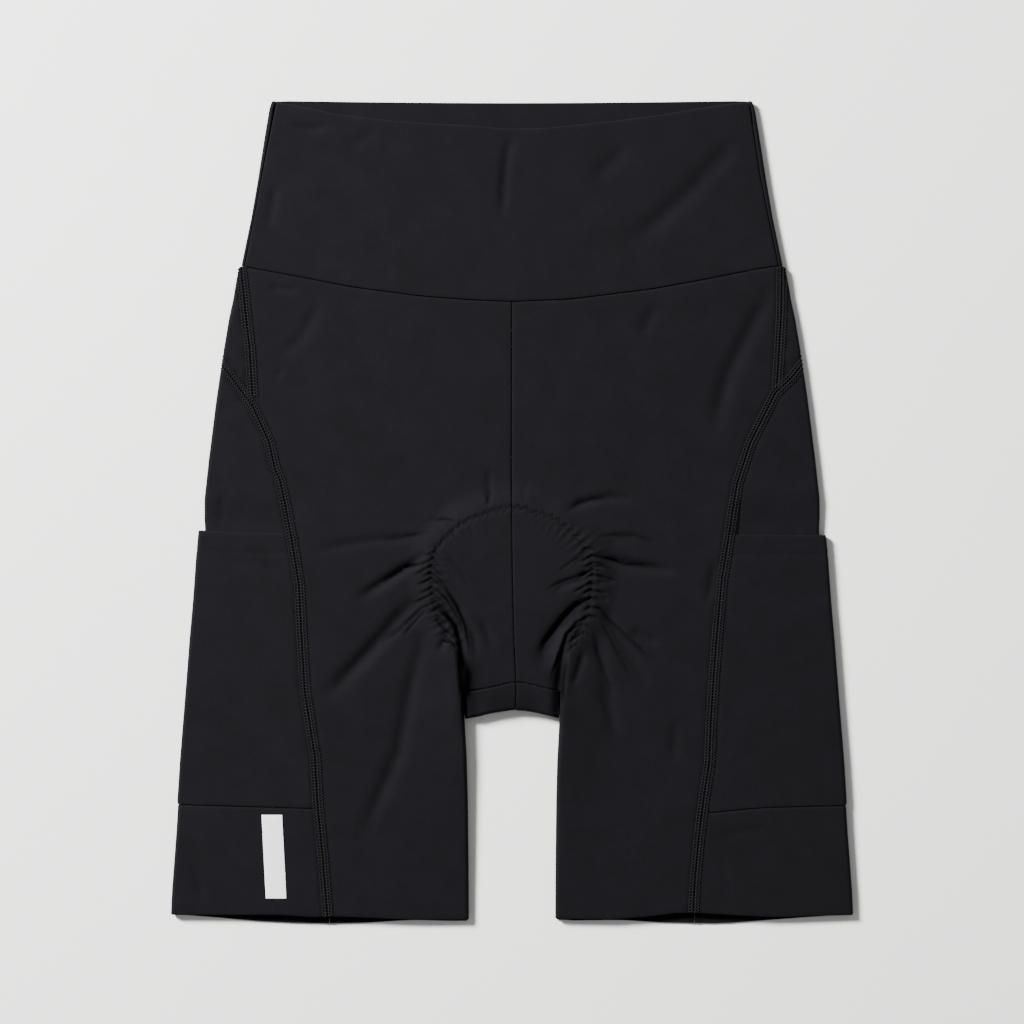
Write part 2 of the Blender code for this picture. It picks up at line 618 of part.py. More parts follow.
# Warps that straighten and widen a fold while triangles are chosen, so that they follow it
def straight_fold(skin):
    """For points given by their runs from the front centre."""
    def warp(c, y):
        start, _, _, arc = skin.fold(np.sign(c), y)
        past = np.abs(c) - start
        turned = np.where(past < arc, FOLD_SPREAD * past / arc, FOLD_SPREAD + past - arc)
        return np.sign(c) * (250.0 + np.where(past < 0, past, turned)), y
    return warp


def straight_back(skin):
    """For points given by their distance from the back centre."""
    def warp(c, y):
        start, _, _, arc = skin.fold(np.sign(c), y)
        past = np.abs(c) - start
        turned = np.where(past < arc, FOLD_SPREAD * past / arc, FOLD_SPREAD + past - arc)
        return np.sign(c) * np.where(past < 0, 180.0 * np.abs(c) / start, 180.0 + turned), y
    return warp


def straight_leg(side):
    """For the inner edge of a leg."""
    def warp(c, y):
        low = smooth(-106.0, -116.0, y)
        first = at(LEG_INSIDE, y) + LEG_FOLD
        last = leg_end(float(side), y)
        run = side * c
        fold = 40.0 - 0.4 * FOLD_SPREAD * (first - run) / (first - last)
        return side * np.where(run < first, run + low * (fold - run), run + low * (40.0 - first)), y
    return warp


# Lines that the outlines are put together from
def ccw(outline):
    return outline if signed_area(outline) > 0 else outline[::-1]


def dense(line, step=7.0):
    """The line with its long pieces cut up."""
    points = [line[0]]
    for (x0, y0), (x1, y1) in zip(line[:-1], line[1:]):
        count = max(1, math.ceil(math.hypot(x1 - x0, y1 - y0) / step))
        points += [(x0 + (x1 - x0) * i / count, y0 + (y1 - y0) * i / count) for i in range(1, count + 1)]
    return points


def between(line, high, low):
    return [p for p in line if low < p[1] < high]


def along(tab, from_x, to_x, count):
    """Points of a line given as a table of y by x."""
    return [(float(x), float(at(tab, x))) for x in np.linspace(from_x, to_x, count)]


def on_back(skin, side, line):
    """Runs of places given by their x on the back."""
    return [(-run_behind(skin, -side, x, y), y) for x, y in line]


def past_fold(skin, side, line):
    """Runs of places given by their distance behind the side fold."""
    runs = []
    for away, y in line:
        start, arc = fold_at(skin, side, y)
        runs.append((side * (start + 0.5 * arc + away), y))
    return runs


def side_seam_runs(skin, side, low):
    """The side panel's seam from the front hem over the arch to the back, down to low."""
    front = between(dense(SIDE_SEAM[side], 14.0), 999.0, low)[::-1]
    back = between(dense(BACK_SEAM, 9.0), 999.0, low)
    return front + past_fold(skin, side, ARCH) + on_back(skin, side, back)


def side_seam_ends(side, y):
    """x of the side panel's front and back seams in a row."""
    ends = []
    for line in (SIDE_SEAM[side], BACK_SEAM):
        rows = sorted((py, px) for px, py in line)
        ends.append(side * abs(float(np.interp(y, [r[0] for r in rows], [r[1] for r in rows]))))
    return ends


def level_line(skin, side, front_tab, back_tab, y):
    """A line round the side fold between the side seams, at the y of tables of x."""
    front_x, back_x = side_seam_ends(side, y)
    fold_y = 0.5 * float(at(front_tab, side * 205.0) + at(back_tab, side * 205.0))
    start, arc = fold_at(skin, side, fold_y)
    round_fold = [(side * (start + arc * k / 6.0), fold_y) for k in range(7)]
    back = along(back_tab, side * 180.0, back_x, 7)
    return along(front_tab, front_x, side * 180.0, 7) + round_fold + on_back(skin, side, back)


def back_waist(half, count):
    """The waist seam on the back, between these distances from the centre."""
    xs = np.linspace(*half, count)
    return [(float(x), BACK_WAIST_Y + BACK_WAIST_RISE * (x / 150.0) ** 2) for x in xs]


def crotch_turn(x):
    """y at which the back starts to turn forward in the crotch, and the length of cloth round the turn."""
    start = float(at(CROTCH_EDGE, x)) + CROTCH_FOLD
    return start, math.pi * 0.5 * (CROTCH_FOLD + 0.5 * float(height(np.array(x), np.array(start))))


# Pieces of the garment
def sheet_node(name, place, outline, groups, steps, thick=CLOTH, outward=1, surface=knit, margin=4.0,
               raised=0.0, warp=lambda c, y: (c, y)):
    """A closed solid over an outline, filled with groups of (points, distance to keep between them)."""
    outline = refined(inset(ccw(outline), 0.5 * GAP), steps)
    points, faces = triangulated(outline, thinned(groups(outline), outline, margin), warp)
    vertices, triangles = closed_sheet(place, points, faces, thick, outward, raised)
    return make_node(name, vertices, triangles, surface())


def band_side(side):
    return [(float(at(BAND_SIDE[side], y)), float(y)) for y in np.linspace(252.4, FOLD_WAIST_Y, 8)]


def waistband_front():
    seam = along(WAIST_SEAM, 164.6, -164.6, 17)
    outline = list(BAND_TOP) + band_side(LEFT) + seam + band_side(RIGHT)[::-1]
    sheet_node("waistband_front", front_face(BAND), outline,
               lambda o: [(crease_points(), 3.6), (grid(o, 20.0), 11.0)], lambda c, y, level: 14.0, BAND_CLOTH)


def waistband_back():
    """From the groove on the front's one side, round both side folds, to the groove on the other."""
    def fold_row(side, y):
        start, arc = fold_at(BAND, side, y)
        return [(run_behind(BAND, side, start + arc * k / 6.0, y), y) for k in range(7)]
    dips = [(float(x), BAND_BACK_TOP_Y - BAND_BACK_DIP * math.cos(0.5 * math.pi * x / 138.0))
            for x in np.linspace(138.0, -138.0, 13)]
    left = to_back(BAND, LEFT, band_side(LEFT))
    right = to_back(BAND, RIGHT, band_side(RIGHT))
    outline = back_waist((-148.0, 148.0), 13) + fold_row(LEFT, FOLD_WAIST_Y)[:0:-1] + left[::-1]
    outline += fold_row(LEFT, 254.4) + dips + fold_row(RIGHT, 254.4)[::-1] + right
    outline += fold_row(RIGHT, FOLD_WAIST_Y)[1:]

    def groups(o):
        folds = []
        for side in (RIGHT, LEFT):
            folds += to_back(BAND, side, fold_columns(BAND, side, 250.0, 163.0, 25.0))
        return [(folds, 1.2), (grid(o, 60.0), 30.0)]
    sheet_node("waistband_back", back_face(BAND), outline, groups, across_fold_behind(BAND, 25.0), BAND_CLOTH,
               outward=-1, warp=straight_back(BAND))


def front_panel(side):
    """Half the front with the front of one leg, whose inner edge turns down to the back."""
    waist = along(WAIST_SEAM, side * 0.02, HIP_SEAM[side][0][0], 12)
    centre = [(float(at(CENTRE_SEAM, y)), float(y)) for y in np.linspace(-105.0, 128.0, 16)]
    cross = along(CROSS_SEAM, side * 29.6, float(at(CENTRE_SEAM, -106.0)), 7)[:-1]
    hem = along(FRONT_HEM[side], SIDE_SEAM[side][-1][0], side * 30.0, 9)
    hem_end = float(leg_end(float(side), np.array(-252.0)))
    hem += [(side * run, float(at(FRONT_HEM[side], side * 27.0))) for run in np.linspace(28.0, hem_end, 5)]
    rows = (-235.0, -215.0, -195.0, -175.0, -155.0, -140.0, -128.0, -119.0)
    inner = [(side * float(leg_end(float(side), np.array(y))), y) for y in rows]
    inner.append((side * (float(leg_end(float(side), np.array(-115.0))) + 1.6), -115.0))
    outline = waist + dense(HIP_SEAM[side])[1:] + dense(SIDE_SEAM[side], 14.0)[:-1]
    outline += hem + inner + cross + centre

    def groups(o):
        near = [p for p in between(grid(o, 9.0), 12.0, -118.0) if abs(p[0]) < 95.0]
        return [(leg_columns(side), 1.2), (pucker_points(), 2.2), (ridge_points(side), 2.0),
                (crease_points(), 3.0), (near, 6.0), (grid(o, 19.0), 11.5)]
    sheet_node(f"front_{SIDE_NAMES[side]}", front_face(FRONT), outline, groups, across_leg, margin=3.0,
               warp=straight_leg(side))


def back_panel(side):
    """Half the back: round the hip to the front seam above the arch, with a crotch tab turned forward."""
    start, arc = fold_at(BACK, side, FOLD_WAIST_Y)
    waist = [(side * x, y) for x, y in back_waist((0.02, 150.0), 8)]
    waist += to_back(BACK, side, [(start + arc * k / 5.0, FOLD_WAIST_Y) for k in range(5, 0, -1)])
    hip = to_back(BACK, side, dense(HIP_SEAM[side]))
    runs = side_seam_runs(BACK, side, -260.0)
    seam = to_back(BACK, side, runs[runs.index(SIDE_SEAM[side][0]):])
    hem = along(BACK_HEM[side], side * abs(BACK_SEAM[-1][0]), side * 27.6, 9)
    rows = (-235.0, -205.0, -180.0, -154.0, -140.0, -129.0)
    leg = [(side * (float(at(LEG_INSIDE, y)) + 0.8), y) for y in rows]
    turn, _ = crotch_turn(side * 28.0)
    tab = [(side * 29.2, turn + 0.6), (side * 28.7, turn - 2.0), (side * 27.8, turn - 10.0)]
    tip = []
    for x in np.linspace(side * 27.7, 2.5, 7):
        turn, arc = crotch_turn(x)
        tip.append((float(x), 2.0 * turn - arc - float(at(CROSS_SEAM, x * CROTCH_WIDEN))))
    centre = [(2.5, tip[-1][1] + 8.0), (2.2, tip[-1][1] + 16.0), (1.6, -122.0), (0.8, -112.0), (0.0, -95.0)]
    centre += [(0.0, float(y)) for y in np.linspace(-70.0, 135.0, 9)]
    outline = waist + hip + seam + hem + leg + tab + tip + centre

    def groups(o):
        folds = to_back(BACK, side, fold_columns(BACK, side, 150.0, 100.0, 16.0))
        turned = []
        for x in np.arange(3.0, 28.0, 6.0):
            turn, arc = crotch_turn(side * x)
            turned += [(side * x, turn - arc * k / 5.0) for k in range(6)] + [(side * x, turn - arc - 6.0)]
        return [(folds, 1.2), (turned, 1.4), (grid(o, 60.0), 30.0)]
    sheet_node(f"back_{SIDE_NAMES[side]}", back_face(BACK), outline, groups, across_fold_behind(BACK, 25.0),
               outward=-1, warp=straight_back(BACK))


def side_panel(side):
    """The arched panel, which goes on under the pocket to the lower band."""
    base = level_line(UNDER, side, POCKET_BASE[side], POCKET_BASE[side], -183.0)
    outline = side_seam_runs(UNDER, side, -178.0) + base[::-1]
    sheet_node(f"side_{SIDE_NAMES[side]}", front_face(UNDER), outline,
               lambda o: [(fold_columns(UNDER, side, 84.0, -166.0, 20.0), 1.2), (grid(o, 40.0), 22.0)],
               across_fold(UNDER, side, 20.0), warp=straight_fold(UNDER))


def outer_piece(name, side, top, base, rows, spacing):
    """A piece between two level lines and the side panel's seams, in the outer layer."""
    front = between(dense(SIDE_SEAM[side], 14.0), *rows)
    back = on_back(OUTER, side, between(dense(BACK_SEAM, 9.0), *rows))
    column_step, plain_step = spacing
    sheet_node(f"{name}_{SIDE_NAMES[side]}", front_face(OUTER), top + back + base[::-1] + front[::-1],
               lambda o: [(fold_columns(OUTER, side, *rows, column_step), 1.2),
                          (grid(o, plain_step), 0.56 * plain_step)],
               across_fold(OUTER, side, 20.0), warp=straight_fold(OUTER))


def pocket(side):
    top = level_line(OUTER, side, POCKET_TOP[side], POCKET_TOP[side], -13.5)
    base = level_line(OUTER, side, POCKET_BASE[side], POCKET_BASE[side], -183.0)
    outer_piece("pocket", side, top, base, (-18.0, -178.0), (22.0, 36.0))


def lower_band(side):
    base = level_line(OUTER, side, POCKET_BASE[side], POCKET_BASE[side], -183.0)
    hem = level_line(OUTER, side, FRONT_HEM[side], BACK_HEM[side], -250.0)
    outer_piece("lower_band", side, base, hem, (-190.0, -244.0), (16.0, 26.0))


def pad():
    """One moulded piece, folded in the crotch between the front and the back."""
    turn = float(at(CROTCH_EDGE, 0.0)) + CLOTH + PAD_CLEARANCE + PAD_FOLD
    arc = math.pi * 0.5 * (PAD_FOLD + 0.5 * (float(pad_top(np.array(0.0), np.array(turn))) - CLOTH - GAP))
    front = between(PAD_FRONT, 99.0, -118.0)
    behind = [(x, 2.0 * turn - arc - y) for x, y in PAD_BACK]
    half = front + [(24.0, turn - 0.5 * arc)] + behind
    outline = half + [(-x, y) for x, y in half[::-1][1:-1]]

    def groups(o):
        turned = [(x, turn - arc * k / 5.0) for x in (-18.0, -6.0, 6.0, 18.0) for k in range(6)]
        return [(turned, 1.2), (grid(o, 18.0), 11.0)]
    sheet_node("pad", pad_face, outline, groups,
               lambda x, v, level: 1.9 if turn - arc - 1.0 < v < turn + 1.0 and not level else 12.0,
               PAD_THICK, surface=foam)


def reflective_strip():
    """A plain upright bar on the right lower band, made from that band's own points."""
    outline = []
    for right, up in ((-0.5, -0.5), (0.5, -0.5), (0.5, 0.5), (-0.5, 0.5)):
        x = STRIP_X + right * STRIP_WIDTH + up * STRIP_LEAN
        outline.append((x, STRIP_Y + up * STRIP_HEIGHT))
    sheet_node("reflective_strip", front_face(OUTER), outline, lambda o: [], lambda c, y, level: 14.0,
               STRIP_THICK, surface=reflective, raised=GAP + STRIP_THICK)


def main():
    for obj in list(bpy.data.objects):
        bpy.data.objects.remove(obj)
    waistband_front()
    waistband_back()
    for side in (RIGHT, LEFT):
        front_panel(side)
        back_panel(side)
        side_panel(side)
        pocket(side)
        lower_band(side)
    pad()
    reflective_strip()


main()
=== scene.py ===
"""Looks of the padded cycling shorts: fine cloth over each solid, seams, stitches, light and camera.

Sizes are in millimetres until a mesh is made. X runs to the wearer's left, Y to the waist, Z up from
the table. The cloth is worked out as in the part's source: "run" is the distance from the front centre
along the cloth, round the side fold and on along the back.
"""
import math

import bpy
import numpy as np
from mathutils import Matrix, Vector
from mathutils.geometry import delaunay_2d_cdt
from mathutils.kdtree import KDTree


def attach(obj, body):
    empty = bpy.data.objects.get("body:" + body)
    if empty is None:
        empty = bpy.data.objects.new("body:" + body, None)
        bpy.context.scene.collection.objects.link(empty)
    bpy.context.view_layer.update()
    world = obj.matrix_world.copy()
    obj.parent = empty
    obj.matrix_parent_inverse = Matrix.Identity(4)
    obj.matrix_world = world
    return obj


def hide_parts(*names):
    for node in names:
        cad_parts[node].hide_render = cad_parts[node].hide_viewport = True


# Cloth
CLOTH = 1.0
BAND_CLOTH = 1.6
PAD_THICK = 2.1
STRIP_THICK = 0.35
STRIP_RAISED = 0.55
GAP = 0.3
POCKET_LIFT = 1.4

# Folds
SIDE_FOLD = 2.3
LEG_FOLD = 2.6
LEG_FOLD_TURN = 0.78 * math.pi
CROTCH_FOLD = 2.6
CROTCH_WIDEN = 1.045
PAD_FOLD = 2.2
PAD_CLEARANCE = 0.5
PAD_FOLLOWS = 0.6

# Rise of the front layer
BODY_CROWN = 1.4
LEG_CROWN = 0.7
PAD_RISE = 3.0
STITCH_GROOVE = 0.5
PUCKER_PITCH = 5.3
PUCKER_DEPTH = 0.6
PUCKER_REACH = 7.0

# Mesh: distances between points
FINE = 0.62
MEDIUM = 1.7
COARSE = 2.8
EDGE_STEP = 1.3
FOLD_PARTS = 9

# How the outer face drops at a cut edge, by distance from it
EDGE_DROP = {"distance": np.array([0.0, 0.35, 0.9]), "drop": np.array([0.5, 0.14, 0.0])}

# Flatlock seams: a shallow bed in the cloth with cross threads and four needle lines
BED_HALF = 3.7
BED_DEPTH = 0.28
BED_EDGE = 0.9
STITCH_PITCH = 1.84
CROSS_RADIUS = 0.40
CROSS_OVERLAP = 0.1
CROSS_REACH = 3.3
NEEDLE_RADIUS = 0.40
NEEDLE_HALF = 0.6
NEEDLE_LINES = (-3.0, -1.0, 1.0, 3.0)
# Rings of a stitch: share of its length, share of its radius
CAPSULE_RINGS = ((0.0, 0.45), (0.22, 1.0), (0.78, 1.0), (1.0, 0.45))

# Zigzag line of the pad
ZIGZAG_PITCH = 5.3
ZIGZAG_HALF = 1.9
ZIGZAG_LEAN = 0.8
ZIGZAG_GROOVE = 0.35
ZIGZAG_WIDTH = 0.6
ZIGZAG_THREAD = 0.24

# Reflective bar on the right lower band
STRIP_X = -147.0
STRIP_Y = -213.0
STRIP_WIDTH = 13.0
STRIP_HEIGHT = 52.0
STRIP_LEAN = -2.6

# Heights of thread above the cloth's face, and where the cloth lies on the table
CROSS_LIFT = -0.25
NEEDLE_LIFT = -0.05
ZIGZAG_LIFT = -0.30
FLOOR_LIFT = -0.43
ZIGZAG_STEP = 0.9

# Hem line below the pocket's top edge
POCKET_HEM = 12.4
POCKET_HEM_DEPTH = 0.25
POCKET_HEM_WIDTH = 1.2

# Colours, linear
CLOTH_COLOUR = (0.0042, 0.0040, 0.0054)
CLOTH_ROUGHNESS = 0.85
CLOTH_SPECULAR = 0.05
CLOTH_SHEEN = 0.015
# Painted shade: the colour the cloth darkens to in the sharp folds and beside the leg ridges
FOLD_SHADE_COLOUR = (0.0004, 0.0004, 0.0006)
# The flatlock beds darken towards this: partly needle holes, partly painted shade in the recess
BED_HOLES_AND_SHADE_COLOUR = (0.0022, 0.0022, 0.0030)
THREAD_COLOUR = (0.0085, 0.0085, 0.0094)
# The zigzag's black thread, set darker still so that it carries the painted shade of its groove
ZIGZAG_THREAD_AND_SHADE_COLOUR = (0.0009, 0.0009, 0.0012)
WALE_PITCH = 0.9
COURSE_PITCH = 0.75

# How much darker and lighter a surface gets in its mottling
KNIT_TONES = (0.86, 1.14)
THREAD_TONES = (0.7, 1.3)
FOAM_COLOUR = (0.02, 0.02, 0.024)
FOAM_DARK, FOAM_LIGHT = (0.015, 0.015, 0.018), (0.027, 0.027, 0.032)
FILM_COLOUR = (0.74, 0.75, 0.77)
FILM_DARK, FILM_LIGHT = (0.68, 0.69, 0.71), (0.80, 0.81, 0.83)

# Stage, in metres
FLOOR_HALF = 4.0
FLOOR_Z = -0.0003
FLOOR_COLOUR = (0.88, 0.88, 0.87)
WORLD_COLOUR = (1.0, 1.0, 1.0)
WORLD_STRENGTH = 0.33
LIGHTS = (("key", (-2.1, 1.6, 1.8), 0.8, 520.0, (1.0, 0.995, 0.98)),)
LENS = 100.0
SENSOR = 36.0
VIEW_WIDE = 634.9
VIEW_CENTRE = (0.0, 0.2)

# Middle of the outline, which is moved to the origin, and a row below both hems
MIDDLE_Y = -0.2
PAST_HEM = -260.0

RIGHT, LEFT = -1, 1
SIDE_NAMES = {RIGHT: "right", LEFT: "left"}


def table(columns, *rows):
    """Named columns, sorted by the first one."""
    values = np.array(sorted(rows), float)
    return {name: values[:, i] for i, name in enumerate(columns.split())}


def at(tab, where):
    """The second column at these values of the first."""
    first, second = list(tab.values())[:2]
    return np.interp(where, first, second)


# Half widths of the outline, from the waist down
BAND_WIDTH = table("y half", (254.8, 148.6), (249.2, 150.3), (236.8, 152.4), (224.4, 154.4), (205.8, 157.3),
                   (193.4, 159.4), (181.0, 161.6), (168.6, 164.2), (159.3, 166.1), (150.0, 168.0))
SIDE_WIDTH = table("y half", (152.5, 169.0), (147.6, 170.0), (131.4, 172.7), (119.0, 175.4), (97.3, 179.0),
                   (69.4, 183.1), (32.2, 187.8), (8.0, 190.4), (-4.0, 190.4), (-11.2, 190.0), (-24.8, 190.9),
                   (-54.6, 194.0), (-104.2, 199.4), (-153.8, 203.8), (-190.0, 206.4))
POCKET_WIDTH = table("y half", (-8.0, 193.8), (-17.4, 194.6), (-24.8, 195.4), (-54.6, 197.5), (-79.4, 199.7),
                     (-104.2, 201.6), (-129.0, 203.6), (-153.8, 205.6), (-178.6, 207.2), (-182.4, 206.8),
                     (-197.2, 207.7), (-215.8, 209.1), (-234.4, 210.5), (-256.0, 211.5))
LEG_INSIDE = table("y half", (-100.0, 30.6), (-128.0, 29.3), (-153.8, 27.9), (-178.6, 27.3), (-215.8, 26.9),
                   (-256.0, 26.7))
RIDGE_LINE = table("y half", (-70.0, 36.0), (-88.0, 34.0), (-100.0, 32.6), (-115.0, 30.7), (-128.0, 29.6),
                   (-153.8, 27.9), (-256.0, 26.7))
CROTCH_EDGE = table("x y", (-30.0, -128.4), (-19.8, -126.5), (-13.6, -124.8), (-7.4, -123.8), (0.0, -122.6),
                    (8.1, -123.1), (14.3, -124.2), (20.5, -125.7), (30.0, -128.2))

# Rows where the band's width ends and the pocket's starts
BAND_TO = 152.4
POCKET_FROM = -11.0

# Heights of the front layer above the table
EDGE_HEIGHT = table("y z", (255.0, 5.0), (20.0, 5.0), (-11.0, 5.8), (-183.0, 5.7), (-256.0, 5.1))
RIDGE_HEIGHT = table("y z", (-66.0, 0.0), (-84.0, 0.8), (-100.0, 1.9), (-120.0, 2.9), (-150.0, 2.6),
                     (-185.0, 1.2), (-235.0, 0.2), (-256.0, 0.0))
RIDGE_TOP = 2.0
RIDGE_REACH = 22.0
PAD_SHARE = table("y share", (60.0, 1.0), (-62.0, 1.0), (-100.0, 0.66), (-128.0, 0.45), (-140.0, 0.2),
                  (-170.0, 0.0))
FOLD_ALLOWANCE = table("y z", (60.0, 1.7), (-92.0, 1.7), (-108.0, 0.7), (-140.0, 0.4))

# Seam lines on the front, as (x, y)
BAND_TOP = ((-144.6, 253.0), (-135.2, 251.8), (-107.9, 246.1), (-78.7, 242.6), (-53.9, 240.3),
            (-29.8, 239.4), (-11.8, 237.6), (2.5, 237.1), (22.3, 237.6), (42.2, 239.6), (67.6, 242.4),
            (92.4, 245.7), (117.2, 250.0), (136.0, 252.7), (145.8, 253.4))
BAND_SIDE = {RIGHT: table("y x", (254.8, -145.6), (213.3, -153.8), (187.2, -158.7), (150.0, -165.9)),
             LEFT: table("y x", (254.8, 146.6), (210.8, 153.1), (181.0, 159.0), (150.0, 165.5))}
WAIST_SEAM = table("x y", (-168.6, 152.4), (-158.7, 150.4), (-130.4, 145.1), (-99.9, 139.1), (-56.4, 133.3),
                   (-26.0, 131.0), (0.0, 129.9), (36.6, 131.4), (86.2, 137.6), (120.3, 143.8),
                   (154.4, 150.7), (168.0, 152.4))
CENTRE_SEAM = table("y x", (130.0, 0.0), (26.0, -0.3), (-30.4, 0.2), (-70.7, 1.1), (-99.8, 2.4),
                    (-126.0, 2.6))
CROSS_SEAM = table("x y", (-31.0, -111.6), (-22.3, -110.0), (-8.9, -107.6), (-0.9, -105.2), (7.2, -105.4),
                   (26.4, -110.0), (31.0, -111.4))
HIP_SEAM = {RIGHT: ((-167.4, 152.2), (-164.3, 121.5), (-161.8, 99.8), (-160.2, 71.9)),
            LEFT: ((167.0, 152.2), (166.8, 124.6), (165.5, 101.7), (163.9, 76.0))}
SIDE_SEAM = {
    RIGHT: ((-160.2, 65.6), (-150.0, 43.4), (-146.3, 26.7), (-143.2, 19.8), (-139.5, 2.5), (-135.8, -17.4),
            (-131.4, -44.6), (-129.6, -80.0), (-127.7, -111.6), (-121.5, -151.3), (-119.7, -182.9),
            (-116.6, -214.5), (-113.8, -250.4)),
    LEFT: ((163.0, 73.4), (147.6, 42.8), (139.5, 18.0), (136.4, 0.0), (133.9, -17.4), (130.0, -40.9),
           (127.1, -72.5), (125.0, -99.8), (123.1, -129.6), (122.1, -155.0), (119.0, -174.8),
           (115.9, -199.0), (113.2, -228.2), (112.2, -248.0))}
# The side panel's arch, which tops out on the back, as (distance behind the side fold, y)
ARCH = ((-9.0, 83.5), (0.0, 93.0), (9.0, 101.0), (19.0, 107.5), (30.0, 110.0), (41.0, 107.0), (50.0, 99.0),
        (57.0, 86.0), (62.0, 70.0))
BACK_SEAM = ((119.5, 45.0), (114.5, 20.0), (112.0, -6.0), (112.5, -45.0), (113.5, -80.0), (114.0, -111.0),
             (114.5, -151.0), (114.5, -183.0), (114.0, -214.0), (113.0, -252.5))
FRONT_HEM = {RIGHT: table("x y", (-213.0, -249.2), (-143.2, -249.2), (-119.0, -250.9), (-111.0, -249.9),
                          (-62.6, -252.2), (-24.0, -252.3)),
             LEFT: table("x y", (24.0, -251.7), (60.8, -252.0), (83.7, -250.3), (105.4, -247.6),
                         (124.0, -248.6), (161.8, -250.7), (213.0, -249.0))}
BACK_HEM = {RIGHT: table("x y", (-213.0, -249.1), (-196.5, -249.9), (-175.0, -252.1), (-156.0, -253.7),
                         (-131.0, -254.8), (-110.0, -255.1), (-88.0, -254.5), (-63.0, -252.9),
                         (-38.0, -253.5), (-24.0, -253.3)),
            LEFT: table("x y", (24.0, -252.3), (36.0, -253.3), (67.0, -252.9), (91.8, -254.4),
                        (129.0, -255.1), (153.8, -253.3), (178.6, -251.5), (213.0, -249.0))}
BACK_WAIST_Y = 149.4
BACK_WAIST_RISE = 2.6
FOLD_WAIST_Y = 152.05
BAND_BACK_TOP_Y = 254.7
BAND_BACK_DIP = 1.2
POCKET_TOP = {RIGHT: table("x y", (-213.0, -11.0), (-120.0, -13.8)),
              LEFT: table("x y", (120.0, -13.8), (213.0, -14.2))}
POCKET_BASE = {RIGHT: table("x y", (-213.0, -180.9), (-120.0, -183.5)),
               LEFT: table("x y", (115.0, -186.2), (123.4, -186.0), (154.4, -182.9), (213.0, -181.5))}

# Half outline of the pad: its front half as (x, y), then its back half
PAD_FRONT = ((0.0, 2.5), (7.0, 2.2), (16.0, -0.8), (26.0, -4.5), (33.0, -8.8), (40.0, -15.0), (46.5, -23.0),
             (49.8, -32.0), (49.5, -45.0), (48.0, -56.0), (45.0, -66.0), (40.0, -76.0), (34.5, -85.0),
             (28.5, -95.0), (25.5, -110.0), (24.0, -124.0))
PAD_BACK = ((24.0, -120.0), (30.0, -100.0), (44.0, -75.0), (58.0, -48.0), (64.0, -24.0), (58.0, -2.0),
            (42.0, 12.0), (20.0, 18.0), (0.0, 19.5))

# Valleys (depth over 0) and ridges of the front layer: name, depth, half width, points (x, y)
CREASES = (
    ("thigh high", 2.2, 3.0, ((-50, -24), (-63, -33), (-86, -48), (-98, -55))),
    ("pocket line", 0.9, 3.0, ((-46, -14), (-69, -16), (-96, -19), (-128, -25))),
    ("thigh long", 2.4, 4.5, ((-50, -48), (-66, -61), (-86, -84), (-118, -118))),
    ("leg long", 1.5, 4.5, ((-46, -61), (-53, -73), (-62, -106), (-70, -149), (-98, -213))),
    ("pinch", 1.1, 2.5, ((-37, -73), (-42, -79), (-45, -88))),
    ("roll edge", 1.5, 2.4, ((-49, -55), (-35, -64), (-30, -78), (-28, -95))),
    ("roll", -1.1, 2.4, ((-48, -47), (-39, -55), (-29, -73), (-26, -95))),
    ("inside", 1.1, 2.6, ((-42, -48), (-31, -62), (-24, -76), (-21, -93))),
    ("inside soft", 0.9, 4.0, ((-46, -38), (-31, -53), (-17, -70), (-9, -85))),
    ("short", 0.7, 2.0, ((-45, -64), (-34, -71), (-30, -78))),
    ("small", 0.7, 2.2, ((-54, -5), (-42, -6), (-32, -9))),
    ("band centre", 1.2, 3.0, ((1, 236), (-3, 221), (-5, 200), (-6, 178))),
    ("band upper", 0.7, 2.2, ((-140, 239), (-125, 237), (-111, 238))),
    ("band patch", 0.5, 5.0, ((-82, 237), (-104, 224))),
    ("band side", 0.7, 3.0, ((-146, 205), (-151, 172))),
    ("band long", 1.4, 6.0, ((143, 238), (130, 220), (109, 197), (89, 179), (64, 163))),
    ("band second", 0.8, 5.0, ((75, 229), (48, 204))),
    ("hip short", 0.8, 2.0, ((-152, 139), (-130, 137))),
    ("hip slant", 0.7, 4.0, ((-117, 133), (-130, 108), (-146, 94))),
    ("hip long", 1.5, 5.0, ((164, 145), (150, 118), (134, 86), (127, 61), (125, 40))),
    ("hip second", 0.8, 4.0, ((89, 129), (79, 107))),
    ("tuck right", 0.8, 2.0, ((-15, 29), (-14, 14), (-14, 2))),
    ("arc", 1.4, 3.0, ((30, -1), (44, 6), (62, 9), (79, 7))),
    ("arc low", 0.5, 3.0, ((58, -18), (81, -15))),
    ("thigh", 2.1, 3.0, ((50, -27), (72, -32), (104, -38))),
    ("crotch broad", 2.3, 4.5, ((49, -51), (37, -63), (27, -74), (20, -86), (20, -100))),
    ("crotch ridge", -1.1, 2.4, ((45, -68), (32, -75), (29, -84), (24, -105))),
    ("crotch side", 1.1, 2.4, ((32, -84), (31, -97), (30, -110))),
    ("inner a", 0.7, 2.0, ((48, -24), (38, -32))),
    ("inner b", 1.1, 2.4, ((50, -32), (42, -42), (32, -45), (24, -51))),
    ("leg a", 1.3, 3.5, ((51, -51), (58, -62), (73, -90), (87, -108))),
    ("leg b", 1.3, 4.0, ((51, -69), (56, -95), (59, -115), (66, -149))),
    ("leg c", 1.1, 2.5, ((45, -83), (42, -95), (37, -110))),
    ("leg d", 1.0, 3.0, ((72, -73), (92, -82))),
    ("leg e", 0.7, 3.0, ((101, -126), (100, -156))),
    ("beside seam", 0.9, 2.5, ((126, -27), (124, -42), (121, -58))),
    ("cuff", 0.5, 3.0, ((-197, -217), (-190, -242))),
    ("crotch valley right", 1.5, 2.5, ((-31.5, -78), (-29.3, -98), (-28.6, -112), (-28.6, -142))),
    ("crotch valley left", 1.5, 2.5, ((31.5, -78), (29.3, -98), (28.6, -112), (28.6, -142))),
)

